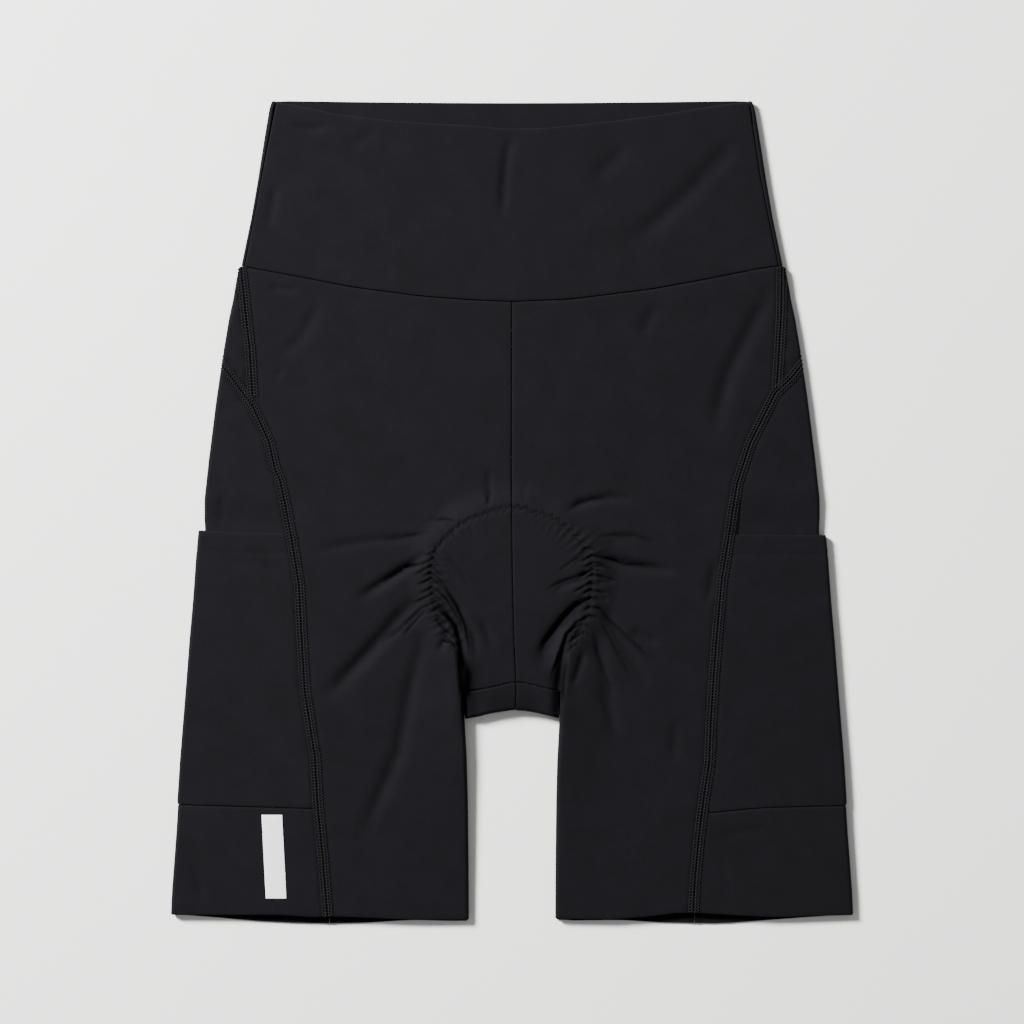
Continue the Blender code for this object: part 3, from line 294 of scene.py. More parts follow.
# Finer folds, which only the cloth here has: name, depth, half width, points (x, y)
FINE_CREASES = (
    ("hip spot", 0.5, 2.5, ((-141, 89), (-144, 86), (-146, 82))),
    ("side soft", 0.5, 3.0, ((-178, 15), (-180, -9))),
    ("tuck left", 0.4, 2.0, ((9, 20), (8, 12), (7, 4))),
    ("nick a", 0.6, 1.8, ((51, -43), (64, -43))),
    ("nick b", 0.6, 1.8, ((50, -51), (61, -55))),
    ("cuff b", 0.4, 3.0, ((123, -202), (141, -198), (161, -195))),
    ("cuff c", 0.4, 3.0, ((129, -213), (133, -225), (134, -239))),
    ("pocket soft", 0.4, 3.5, ((-185, -27), (-160, -33), (-140, -37))),
)

# Sharp folds that the pad draws up: name, depth, half width, how much painted shade darkens the cloth there,
# points (x, y)
SHARP_CREASES = (
    ("right high", 1.0, 1.0, 0.8, ((-81.8, -44.2), (-73.6, -39.1), (-65.3, -33.9), (-51.9, -30.8))),
    ("right soft", 0.4, 1.2, 0.35, ((-81.8, -16.9), (-69.4, -15.7), (-59.1, -14.1), (-50.8, -12.4))),
    ("right top", 0.4, 0.9, 0.3, ((-47.7, -5.6), (-40.5, -4.5), (-33.9, -5.6))),
    ("right long", 0.9, 1.3, 0.5, ((-81.8, -81.0), (-71.5, -74.2), (-61.2, -64.9), (-50.8, -54.6))),
    ("right low", 0.6, 1.0, 0.3, ((-69.4, -79.4), (-59.1, -67.0), (-50.8, -58.7))),
    ("right valley", 1.3, 1.5, 0.95, ((-49.8, -54.6), (-40.5, -62.8), (-34.7, -71.1), (-32.2, -81.4),
     (-31.0, -91.8), (-31.0, -104.2))),
    ("right arc one", 1.0, 1.1, 0.7, ((-47.7, -40.5), (-40.5, -47.3), (-33.3, -58.7), (-28.5, -71.1),
     (-26.5, -83.5), (-26.5, -92.8))),
    ("right arc two", 0.8, 0.9, 0.5, ((-47.1, -45.3), (-39.5, -54.6), (-32.2, -67.0), (-28.5, -79.4))),
    ("right inside", 0.3, 1.6, 0.12, ((-41.5, -25.6), (-32.2, -36.0), (-25.0, -48.4))),
    ("right knot", 0.8, 0.7, 0.8, ((-44.6, -79.4), (-37.4, -80.4), (-33.3, -84.5))),
    ("right tuck", 0.8, 0.8, 0.6, ((-47.7, -64.9), (-42.6, -71.1), (-33.3, -79.4))),
    ("right broad", 0.4, 2.2, 0.15, ((-19.8, -62.8), (-15.7, -75.2), (-12.6, -87.6))),
    ("right of centre", 0.45, 0.9, 0.4, ((-13.6, 14.7), (-14.5, 8.5), (-15.7, 3.3))),
    ("left top", 0.5, 1.3, 0.3, ((33.9, 0.2), (40.1, 4.3), (50.4, 7.9), (60.8, 8.5))),
    ("left soft", 0.6, 1.3, 0.35, ((50.4, -15.7), (62.8, -14.3), (75.2, -14.3), (91.8, -19.8))),
    ("left high", 1.0, 1.0, 0.85, ((49.4, -26.7), (60.8, -29.3), (71.1, -32.2), (91.8, -33.5))),
    ("left nick a", 0.5, 0.8, 0.4, ((50.4, -32.9), (56.6, -33.5), (62.8, -36.0))),
    ("left nick b", 0.5, 0.8, 0.4, ((50.4, -38.0), (58.7, -40.5), (67.0, -43.2))),
    ("left inside", 0.6, 1.2, 0.35, ((19.4, -49.4), (29.8, -43.2), (42.2, -39.1), (48.8, -37.0))),
    ("left inside b", 0.4, 1.0, 0.25, ((42.2, -26.7), (33.9, -32.9), (27.7, -37.0))),
    ("left valley", 1.3, 1.6, 0.9, ((50.4, -51.5), (40.1, -56.6), (31.8, -64.9), (25.6, -73.2),
     (19.4, -81.4), (19.0, -89.7))),
    ("left deep", 1.3, 1.1, 0.95, ((50.4, -62.8), (40.1, -68.0), (33.9, -75.2), (30.8, -85.6),
     (25.6, -98.0), (23.6, -105.2))),
    ("left tuck a", 0.6, 0.7, 0.6, ((44.6, -68.0), (39.1, -71.1), (33.9, -75.2))),
    ("left tuck b", 0.6, 0.7, 0.6, ((44.6, -74.2), (39.1, -77.3), (33.1, -81.8))),
    ("left tuck c", 0.5, 0.7, 0.5, ((42.2, -79.4), (37.0, -83.5), (33.3, -87.6))),
    ("left leg a", 0.7, 1.0, 0.5, ((50.4, -54.6), (60.8, -67.0), (71.1, -77.3), (81.4, -86.6),
     (91.3, -93.4))),
    ("left leg b", 0.5, 1.3, 0.3, ((52.5, -62.8), (62.8, -81.4), (71.1, -98.0), (75.2, -108.3))),
    ("left leg c", 0.5, 1.5, 0.25, ((50.4, -71.1), (53.5, -87.6), (60.8, -108.3), (61.8, -120.7))),
    # The rows below, of depth 0, are painted shadow alone, with no fold: beside the leg ridges and over the
    # crotch tab
    ("left edge", 0, 1.3, 0.6, ((33.9, -87.6), (31.8, -104.2), (31.0, -120.7))),
    ("tab right", 0, 5.0, 0.5, ((-26.0, -88.0), (-27.0, -112.0), (-27.0, -136.0))),
    ("tab left", 0, 4.0, 0.45, ((26.0, -92.0), (27.0, -112.0), (27.0, -136.0))),
    ("tab middle", 0, 9.0, 0.25, ((-20.0, -121.0), (0.0, -119.0), (20.0, -121.0))),
    ("right edge", 0, 3.0, 0.6, ((-30.6, -83.5), (-27.7, -100.0), (-28.5, -120.7))),
)

# Short puckers across the pad's stitching: y on it, reach outwards, reach inwards, depth
PUCKERS = {
    RIGHT: ((-24.5, 6.0, 4.0, 0.5), (-29.0, 9.0, 6.0, 0.7), (-33.5, 12.0, 9.0, 0.9), (-37.5, 7.0, 11.0, 0.7),
            (-41.0, 10.0, 8.0, 1.0), (-46.5, 9.0, 13.0, 0.9), (-50.5, 14.0, 10.0, 1.0),
            (-55.5, 10.0, 7.0, 0.9), (-60.0, 8.0, 9.0, 0.8), (-66.0, 6.0, 5.0, 0.6)),
    LEFT: ((-22.0, 7.0, 5.0, 0.5), (-27.0, 8.0, 9.0, 0.8), (-31.0, 9.0, 6.0, 0.7), (-35.5, 7.0, 10.0, 0.9),
           (-39.0, 10.0, 7.0, 1.0), (-44.0, 8.0, 12.0, 0.9), (-48.0, 11.0, 8.0, 0.9),
           (-53.0, 7.0, 12.0, 1.0), (-58.5, 9.0, 8.0, 0.8), (-64.0, 6.0, 7.0, 0.7))}
PUCKER_HALF = 0.85
PUCKER_SHADE = 0.45
# Cloth above this height is on the front, where the folds get painted shade
SHADE_ABOVE = 3.0
# Slope of the puckers down from the stitching, on the right and on the left
PUCKER_FALL = {"outside": (0.5, 0.25), "inside": (0.85, 0.55)}

# Soft troughs of the back, which lies on the table: name, depth, half width, points (x, y)
BACK_CREASES = (
    ("seat left", 0.7, 5.0, ((18, 92), (46, 60), (70, 18))),
    ("seat right", 0.6, 4.5, ((-22, 80), (-52, 52), (-80, 30))),
    ("seat low", 0.5, 3.5, ((-88, 4), (-101, -30))),
    ("thigh left", 0.7, 4.0, ((44, -106), (72, -122), (104, -126))),
    ("thigh right", 0.7, 4.0, ((-42, -112), (-66, -132), (-98, -141))),
    ("thigh right low", 0.5, 3.0, ((-58, -158), (-84, -166))),
    ("knee left", 0.5, 3.5, ((56, -190), (90, -182))),
    ("hip left", 0.5, 4.0, ((150, 122), (118, 104), (96, 100))),
    ("hip right", 0.4, 3.5, ((-152, 96), (-128, 82))),
    ("band left", 0.5, 4.5, ((122, 232), (88, 210), (60, 204))),
    ("band right", 0.4, 4.0, ((-138, 190), (-112, 176))),
    ("band middle", 0.5, 4.0, ((6, 228), (-4, 196))),
    ("pocket left", 0.5, 4.0, ((130, -60), (164, -74), (188, -70))),
    ("pocket right", 0.5, 4.0, ((-128, -96), (-160, -108), (-182, -126))),
)

# Zigzag line of the pad on the front, from the centre down each side
ZIGZAG = {
    RIGHT: ((-1.5, 2.3), (-8.1, 1.9), (-14.3, -1.2), (-22.9, -3.7), (-32.2, -6.8), (-35.3, -11.8),
            (-43.4, -18.0), (-47.1, -22.9), (-49.6, -31.0), (-49.6, -37.8), (-49.3, -43.4), (-48.4, -50.8),
            (-46.5, -57.0), (-45.3, -62.6), (-44.0, -68.8), (-40.3, -75.0), (-39.1, -78.1), (-36.0, -83.1)),
    LEFT: ((0.8, 2.4), (6.2, 2.5), (14.3, -0.6), (18.6, -1.2), (23.6, -3.1), (29.1, -5.6), (34.7, -9.9),
           (42.2, -17.4), (49.0, -24.8), (50.5, -31.6), (49.6, -38.0), (48.0, -44.6), (49.0, -50.8),
           (48.6, -56.4), (49.0, -62.0), (46.5, -67.0), (43.4, -72.5), (41.5, -76.9), (37.2, -80.6),
           (33.5, -84.3))}


def smooth(low, high, value):
    share = np.clip((value - low) / (high - low), 0.0, 1.0)
    return share * share * (3.0 - 2.0 * share)


def nearest(line, x, y):
    """Distance to a polyline, and how far along it the nearest place is, in millimetres."""
    best = np.full(np.shape(x), 1e9)
    along = np.zeros(np.shape(x))
    run = 0.0
    for (x0, y0), (x1, y1) in zip(line[:-1], line[1:]):
        length = math.hypot(x1 - x0, y1 - y0)
        share = np.clip(((x - x0) * (x1 - x0) + (y - y0) * (y1 - y0)) / length ** 2, 0.0, 1.0)
        away = np.hypot(x - x0 - share * (x1 - x0), y - y0 - share * (y1 - y0))
        along = np.where(away < best, run + share * length, along)
        best = np.minimum(best, away)
        run += length
    return best, along, run


def inside(outline, x, y):
    """Whether each point lies in the polygon."""
    found = np.zeros(np.shape(x), bool)
    for (x0, y0), (x1, y1) in zip(outline, outline[1:] + outline[:1]):
        crosses = (y0 > y) != (y1 > y)
        slope = (x1 - x0) / (y1 - y0) if y1 != y0 else 0.0
        found ^= crosses & (x < x0 + (y - y0) * slope)
    return found


def line_length(line):
    return sum(math.dist(a, b) for a, b in zip(line[:-1], line[1:]))


def walk(line, distance):
    """The place this far along a polyline, and its direction."""
    share = 1.0
    for (x0, y0), (x1, y1) in zip(line[:-1], line[1:]):
        length = math.hypot(x1 - x0, y1 - y0)
        if distance <= length + 1e-6:
            share = distance / length
            break
        distance -= length
    return x0 + (x1 - x0) * share, y0 + (y1 - y0) * share, (x1 - x0) / length, (y1 - y0) / length


def zigzag(line):
    """Corner points of the zigzag that follows a line."""
    points = []
    for k in range(int(2.0 * line_length(line) / ZIGZAG_PITCH)):
        x, y, dx, dy = walk(line, 0.5 * ZIGZAG_PITCH * k)
        away = (ZIGZAG_HALF if k % 2 else -ZIGZAG_HALF) * (1.0 + 0.3 * math.sin(2.3 * k))
        lean = ZIGZAG_LEAN * math.copysign(1.0, away) + 0.5 * math.sin(1.7 * k)
        points.append((x - dy * away + dx * lean, y + dx * away + dy * lean))
    return points


def relief_of(folds, x, y):
    """Depth of named folds at each place; each fades out at its ends."""
    x, y = np.broadcast_arrays(x, y)
    relief = np.zeros(x.shape)
    for _, depth, width, line in folds:
        low, high = np.min(line, axis=0) - 3.0 * width, np.max(line, axis=0) + 3.0 * width
        near = (x > low[0]) & (x < high[0]) & (y > low[1]) & (y < high[1])
        if not near.any():
            continue
        away, along, length = nearest(line, x[near], y[near])
        ends = smooth(0.0, 0.3 * length, along) * smooth(0.0, 0.3 * length, length - along)
        relief[near] += depth * ends * np.exp(-(away / width) ** 2)
    return relief


def sharp_folds():
    """The sharp folds and the short puckers, as (name, depth, half width, painted shade, points)."""
    rows = list(SHARP_CREASES)
    for number, (side, places) in enumerate(PUCKERS.items()):
        seam = sorted((y, x) for x, y in ZIGZAG[side])
        for y, outwards, inwards, depth in places:
            x = float(np.interp(y, [p[0] for p in seam], [p[1] for p in seam]))
            outer = (x + side * outwards, y - PUCKER_FALL["outside"][number] * outwards)
            inner = (x - side * inwards, y - PUCKER_FALL["inside"][number] * inwards)
            rows.append(("pucker", depth, PUCKER_HALF, PUCKER_SHADE, (outer, (x, y), inner)))
    return rows


SHARP = sharp_folds()


def crease_relief(x, y):
    sharp = [(name, depth, half, line) for name, depth, half, _, line in SHARP]
    return relief_of(CREASES + FINE_CREASES, x, y) + relief_of(sharp, x, y)


def fold_shade(points):
    """How much painted shade darkens the cloth in the sharp folds and beside the leg ridges, from 0 to 1, at
    points of its face.
    """
    shades = [(name, shade, half, line) for name, _, half, shade, line in SHARP]
    shown = relief_of(shades, points[:, 0], points[:, 1])
    return np.clip(shown, 0.0, 1.0) * (points[:, 2] > SHADE_ABOVE)


def back_relief(x, y):
    return relief_of(BACK_CREASES, x, y)


def zigzag_relief(x, y):
    """The narrow groove that the pad's zigzag line pulls into the cloth."""
    relief = np.zeros(np.shape(x))
    near = (np.abs(x) < 60.0) & (y > -95.0) & (y < 12.0)
    for line in ZIGZAG.values():
        away, _, _ = nearest(zigzag(line), x[near], y[near])
        relief[near] += ZIGZAG_GROOVE * np.exp(-(away / ZIGZAG_WIDTH) ** 2)
    return relief


def pad_distance(x, y):
    """Distance in from the pad's stitched edge, below zero outside it."""
    line = list(PAD_FRONT) + [(24.0, -160.0)]
    away, along, _ = nearest(line, np.abs(x), y)
    outline = line + [(-24.0, -160.0)] + [(-px, py) for px, py in reversed(PAD_FRONT)]
    return np.where(inside(outline, x, y), away, -away), along


def gather_relief(x, y):
    """The groove of the stitching and the puckers that it draws up on both sides."""
    away, along = pad_distance(x, y)
    reach = smooth(-4.0, -14.0, y) * smooth(-88.0, -76.0, y)
    wave = 0.5 - 0.5 * np.cos(2 * math.pi * along / PUCKER_PITCH)
    pucker = PUCKER_DEPTH * wave * reach * np.exp(-(away / PUCKER_REACH) ** 2)
    groove = STITCH_GROOVE * smooth(-92.0, -84.0, y) * np.exp(-(away / 1.6) ** 2)
    return pucker + groove


def smooth_height(x, y):
    """Top of the front layer without its creases."""
    below = np.where(y > POCKET_FROM, at(SIDE_WIDTH, y), at(POCKET_WIDTH, y))
    half = np.where(y > BAND_TO, at(BAND_WIDTH, y), below)
    away = np.abs(x)
    middle = 0.5 * (at(LEG_INSIDE, y) + half)
    body = BODY_CROWN * (1.0 - np.clip(away / half, 0, 1) ** 2)
    leg = LEG_CROWN * (1.0 - np.clip((away - middle) / (half - middle), -1, 1) ** 2)
    low = smooth(-60.0, -150.0, y)
    pad, _ = pad_distance(x, y)
    rise = PAD_RISE * at(PAD_SHARE, y) * smooth(-17.0, 1.0, pad)
    past = away - at(RIDGE_LINE, y)
    fall = np.exp(-(np.maximum(past - RIDGE_TOP, 0.0) / RIDGE_REACH) ** 2)
    ridge = at(RIDGE_HEIGHT, y) * smooth(-1.8, 2.2, past) * fall
    return at(EDGE_HEIGHT, y) + body * (1 - low) + leg * low + rise + ridge


def height(x, y):
    return smooth_height(x, y) - crease_relief(x, y) - gather_relief(x, y)


class Skin:
    """One layer of the flattened tube: its half widths and how far it lies inside the outer layer."""

    def __init__(self, widths, lift_from=None, leg_fold=False, crotch_fold=False):
        self.widths = widths
        self.lift_from = lift_from
        self.leg_fold = leg_fold
        self.crotch_fold = crotch_fold

    def lift(self, y):
        if self.lift_from is None:
            return np.zeros(np.shape(y))
        high, low = self.lift_from
        return POCKET_LIFT * smooth(high, low, y)

    def fold(self, side, y):
        """Where the side fold starts, its two half heights, and the length of cloth round it."""
        start = at(self.widths, y) - SIDE_FOLD
        top = height(side * start, y) - self.lift(y)
        low = self.lift(y)
        half = 0.5 * (top - low)
        return start, half, low + half, math.pi * 0.5 * (SIDE_FOLD + half)

    def around(self, side, y):
        """Run from the front centre to the back centre."""
        start, _, _, arc = self.fold(side, y)
        return 2.0 * start + arc

    def place(self, run, y):
        """Points of the outer face, for signed runs from the front centre."""
        side = np.where(run < 0, -1.0, 1.0)
        run = np.abs(run)
        start, half, middle, arc = self.fold(side, y)
        turn = np.clip((run - start) / arc, 0.0, 1.0) * math.pi
        x = np.where(run < start, run, start + SIDE_FOLD * np.sin(turn))
        x = np.where(run > start + arc, start - (run - start - arc), x)
        z = np.where(run < start, height(side * run, y) - self.lift(y), middle + half * np.cos(turn))
        if self.leg_fold:
            x, z = self.round_leg(side, run, y, x, z)
        return np.stack([side * x, y + 0.0 * x, z], axis=-1)

    def round_leg(self, side, run, y, x, z):
        """Turns the inner edge of a leg down towards the back layer."""
        legs = smooth(-109.0, -115.0, y)
        start = at(LEG_INSIDE, y) + LEG_FOLD
        top = height(side * start, y)
        half = 0.5 * (top - CLOTH - GAP)
        turn = np.clip((start - run) / (0.5 * (LEG_FOLD + half)), 0.0, math.pi)
        turned = (run < start) & (legs > 0)
        fold_x = start - LEG_FOLD * np.sin(turn)
        fold_z = top - half + half * np.cos(turn)
        x = np.where(turned, x + legs * (fold_x - x), x)
        z = np.where(turned, z + legs * (fold_z - z), z)
        return x, z


def leg_end(side, y):
    """Run at which a front leg's inner edge ends."""
    start = at(LEG_INSIDE, y) + LEG_FOLD
    half = 0.5 * (height(side * start, y) - CLOTH - GAP)
    return start - LEG_FOLD_TURN * 0.5 * (LEG_FOLD + half)


BAND = Skin(BAND_WIDTH)
FRONT = Skin(SIDE_WIDTH, leg_fold=True)
BACK = Skin(SIDE_WIDTH, crotch_fold=True)
UNDER = Skin(SIDE_WIDTH, lift_from=(12.0, -9.0))
OUTER = Skin(POCKET_WIDTH)


def front_face(skin):
    """Places points given as (signed run, y)."""
    return lambda c, y: skin.place(c, y)


def back_face(skin):
    """Places points given as (signed distance from the back centre, y), and turns the crotch forward."""
    def place(c, y):
        side = np.where(c < 0, -1.0, 1.0)
        points = skin.place(side * (skin.around(side, y) - np.abs(c)), y)
        edge = at(CROTCH_EDGE, c) + CROTCH_FOLD
        tab = skin.crotch_fold & (np.abs(c) < at(LEG_INSIDE, y) + 0.3) & (y < edge) & (y > -156.0)
        top = height(c, edge)
        arc = math.pi * 0.5 * (CROTCH_FOLD + 0.5 * top)
        past = np.maximum(edge - y, 0.0)
        turn = np.clip(past / arc, 0.0, 1.0) * math.pi
        shown_y = np.where(past < arc, edge - CROTCH_FOLD * np.sin(turn), edge + past - arc)
        wide = c * (1.0 + (CROTCH_WIDEN - 1.0) * np.clip(past / arc, 0.0, 1.0))
        shown_z = np.where(past < arc, 0.5 * top * (1 - np.cos(turn)), height(wide, shown_y))
        turned = np.stack([wide, shown_y, shown_z], axis=-1)
        return np.where(tab[..., None], turned, points)
    return place


def pad_top(x, y):
    followed = PAD_FOLLOWS * np.maximum(crease_relief(x, y), 0.0)
    return smooth_height(x, y) - followed - CLOTH - at(FOLD_ALLOWANCE, y) - GAP - 0.05


def pad_face(x, v):
    """The pad lies under the front, turns in the crotch and comes back up over the back panels."""
    edge = at(CROTCH_EDGE, x) + CLOTH + PAD_CLEARANCE + PAD_FOLD
    low = CLOTH + GAP
    top = pad_top(x, edge)
    half = 0.5 * (top - low)
    arc = math.pi * 0.5 * (PAD_FOLD + half)
    past = np.maximum(edge - v, 0.0)
    turn = np.clip(past / arc, 0.0, 1.0) * math.pi
    y = np.where(v > edge, v, np.where(past < arc, edge - PAD_FOLD * np.sin(turn), edge + past - arc))
    z = np.where(v > edge, pad_top(x, v), np.where(past < arc, low + half + half * np.cos(turn), low))
    return np.stack([x, y, z], axis=-1)


# Outlines
def signed_area(outline):
    return 0.5 * sum(x0 * y1 - x1 * y0 for (x0, y0), (x1, y1) in zip(outline, outline[1:] + outline[:1]))


def ccw(outline):
    return outline if signed_area(outline) > 0 else outline[::-1]


def inset(outline, by):
    """The counter-clockwise polygon moved in by this much."""
    points = np.array(outline, float)
    ahead = np.roll(points, -1, axis=0) - points
    ahead /= np.maximum(np.linalg.norm(ahead, axis=1, keepdims=True), 1e-9)
    before = np.roll(ahead, 1, axis=0)
    mitre = np.stack([-before[:, 1] - ahead[:, 1], before[:, 0] + ahead[:, 0]], axis=-1)
    scale = by / np.maximum(0.5 * (mitre ** 2).sum(axis=1), 0.25)
    return [tuple(p) for p in points + mitre * scale[:, None]]


def dense(line, step=7.0):
    """The line with its long pieces cut up."""
    points = [line[0]]
    for (x0, y0), (x1, y1) in zip(line[:-1], line[1:]):
        count = max(1, math.ceil(math.hypot(x1 - x0, y1 - y0) / step))
        points += [(x0 + (x1 - x0) * i / count, y0 + (y1 - y0) * i / count) for i in range(1, count + 1)]
    return points


def between(line, high, low):
    return [p for p in line if low < p[1] < high]


def along(tab, from_x, to_x, count):
    """Points of a line given as a table of y by x."""
    return [(float(x), float(at(tab, x))) for x in np.linspace(from_x, to_x, count)]


def fold_at(skin, side, y):
    """Where the side fold starts in a row, and the length of cloth round it."""
    start, _, _, arc = skin.fold(float(side), np.array(y))
    return float(start), float(arc)


def run_behind(skin, side, x, y):
    """Distances of places on the front layer from the back centre, along the cloth."""
    return side * (skin.around(float(side), y) - np.abs(x))


def pairs(x, y):
    return [(float(a), float(b)) for a, b in zip(x, y)]


def to_back(skin, side, points):
    x, y = np.array(points, float).T
    return pairs(run_behind(skin, side, x, y), y)


def on_back(skin, side, line):
    """Runs of places given by their x on the back."""
    x, y = np.array(line, float).T
    return pairs(run_behind(skin, side, x, y), y)


def past_fold(skin, side, line):
    """Runs of places given by their distance behind the side fold."""
    away, y = np.array(line, float).T
    start, _, _, arc = skin.fold(float(side), y)
    return pairs(side * (start + 0.5 * arc + away), y)


def side_seam_runs(skin, side, low):
    """The side panel's seam from the front hem over the arch to the back, down to low."""
    front = between(dense(SIDE_SEAM[side], 14.0), 999.0, low)[::-1]
    back = between(dense(BACK_SEAM, 9.0), 999.0, low)
    return front + past_fold(skin, side, ARCH) + on_back(skin, side, back)


def side_seam_ends(side, y):
    """x of the side panel's front and back seams in a row."""
    ends = []
    for line in (SIDE_SEAM[side], BACK_SEAM):
        rows = sorted((py, px) for px, py in line)
        ends.append(side * abs(float(np.interp(y, [r[0] for r in rows], [r[1] for r in rows]))))
    return ends


def level_line(skin, side, front_tab, back_tab, y):
    """A line round the side fold between the side seams, at the y of tables of x."""
    front_x, back_x = side_seam_ends(side, y)
    fold_y = 0.5 * float(at(front_tab, side * 205.0) + at(back_tab, side * 205.0))
    start, arc = fold_at(skin, side, fold_y)
    round_fold = [(side * (start + arc * k / 6.0), fold_y) for k in range(7)]
    back = along(back_tab, side * 180.0, back_x, 7)
    return along(front_tab, front_x, side * 180.0, 7) + round_fold + on_back(skin, side, back)


def back_waist(half, count):
    """The waist seam on the back, between these distances from the centre."""
    xs = np.linspace(*half, count)
    return [(float(x), BACK_WAIST_Y + BACK_WAIST_RISE * (x / 150.0) ** 2) for x in xs]


def crotch_turn(x):
    """y at which the back starts to turn forward in the crotch, and the length of cloth round the turn."""
    start = float(at(CROTCH_EDGE, x)) + CROTCH_FOLD
    return start, math.pi * 0.5 * (CROTCH_FOLD + 0.5 * float(height(np.array(x), np.array(start))))


# Points that fill an outline
def rows_of(outline, step):
    ys = [p[1] for p in outline]
    return np.arange(min(ys) + 0.4 * step, max(ys), 0.87 * step)


def plain_grid(outline, step):
    xs = [p[0] for p in outline]
    points = []
    for row, y in enumerate(rows_of(outline, step)):
        places = np.arange(min(xs) + 0.5 * step * (row % 2), max(xs), step)
        points.append(np.stack(np.broadcast_arrays(places, y), axis=-1))
    return np.concatenate(points)


def fold_grid(skin, side, low, high, behind=False):
    """Columns of points round a side fold, close enough to show it round."""
    rows = np.arange(low, high, 1.5)
    start, _, _, arc = skin.fold(float(side), rows)
    around = skin.around(float(side), rows)
    columns = []
    for k in range(-1, FOLD_PARTS + 2):
        run = start + arc * k / FOLD_PARTS
        columns.append(np.stack([side * (around - run if behind else run), rows], axis=-1))
    return np.concatenate(columns)


def leg_grid(side):
    """Columns of points round the inner edge of a leg."""
    rows = np.arange(-252.0, -112.0, 1.5)
    first = at(LEG_INSIDE, rows) + LEG_FOLD
    last = leg_end(float(side), rows)
    columns = []
    for k in range(-1, FOLD_PARTS + 1):
        columns.append(np.stack([side * (first + (last - first) * k / FOLD_PARTS), rows], axis=-1))
    return np.concatenate(columns)


def filled(corners, edge, groups, rings):
    """Points inside the outline: rings along its edge, then each group clear of the points before it."""
    closed = corners + corners[:1]
    taken = []
    for ring in rings:
        points = np.array(inset(edge, ring))
        away, _, _ = nearest(closed, points[:, 0], points[:, 1])
        fits = inside(corners, points[:, 0], points[:, 1]) & (away > 0.85 * ring)
        taken += [tuple(p) for p in points[fits]]
    for points, apart in groups:
        points = points[inside(corners, points[:, 0], points[:, 1])]
        tree = KDTree(len(taken) + len(edge))
        for index, (x, y) in enumerate(taken + edge):
            tree.insert((x, y, 0.0), index)
        tree.balance()
        taken += [(x, y) for x, y in points if tree.find((x, y, 0.0))[2] > apart]
    return taken


def triangulated(corners, edge, filling):
    """Points and counter-clockwise triangles of the filled outline."""
    points = np.array(edge + filling)
    found = delaunay_2d_cdt([Vector(p) for p in points], [], [list(range(len(edge)))], 1, 1e-5, True)
    origin = np.array([ids[0] for ids in found[3]])
    faces = np.array([tuple(f) for f in found[2]])
    shown = np.array([tuple(v) for v in found[0]])
    centre = shown[faces].mean(axis=1)
    faces = faces[inside(corners, centre[:, 0], centre[:, 1])]
    a, b, c = shown[faces[:, 0]], shown[faces[:, 1]], shown[faces[:, 2]]
    clockwise = (b - a)[:, 0] * (c - a)[:, 1] - (b - a)[:, 1] * (c - a)[:, 0] < 0
    faces[clockwise] = faces[clockwise][:, ::-1]
    used, faces = np.unique(origin[faces], return_inverse=True)
    return points[used], faces.reshape(-1, 3)


def normals(place, c, y, outward):
    step = 0.05
    across = place(c + step, y) - place(c - step, y)
    down = place(c, y + step) - place(c, y - step)
    normal = np.cross(across, down) * outward
    return normal / np.maximum(np.linalg.norm(normal, axis=-1, keepdims=True), 1e-9)


def mesh_object(name, vertices, faces, surface, marks=()):
    """A smooth object from points in millimetres; marks are named values from 0 to 1 for each point."""
    mesh = bpy.data.meshes.new(name)
    moved = (np.asarray(vertices) - np.array([0.0, MIDDLE_Y, 0.0])) / 1000.0
    faces = np.asarray(faces, np.int32)
    sides = faces.shape[1]
    mesh.vertices.add(len(moved))
    mesh.vertices.foreach_set("co", moved.astype(np.float32).ravel())
    mesh.loops.add(faces.size)
    mesh.loops.foreach_set("vertex_index", faces.ravel())
    mesh.polygons.add(len(faces))
    mesh.polygons.foreach_set("loop_start", np.arange(0, faces.size, sides, dtype=np.int32))
    mesh.polygons.foreach_set("use_smooth", np.ones(len(faces), bool))
    mesh.update(calc_edges=True)
    mesh.validate()
    for mark, values in marks:
        layer = mesh.attributes.new(mark, "FLOAT", "POINT")
        layer.data.foreach_set("value", np.asarray(values, np.float32))
    mesh.materials.append(surface)
    made = bpy.data.objects.new(name, mesh)
    bpy.context.collection.objects.link(made)
    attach(made, "root")
    return made


# Cloth
def bed_depth(seams, c, y):
    """Depth of the bed that a flatlock seam lies in, along any of these lines."""
    depth = np.zeros(np.shape(c))
    for line in seams:
        away, _, _ = nearest(line, c, y)
        depth = np.maximum(depth, BED_DEPTH * (1.0 - smooth(BED_HALF, BED_HALF + BED_EDGE, away)))
    return depth


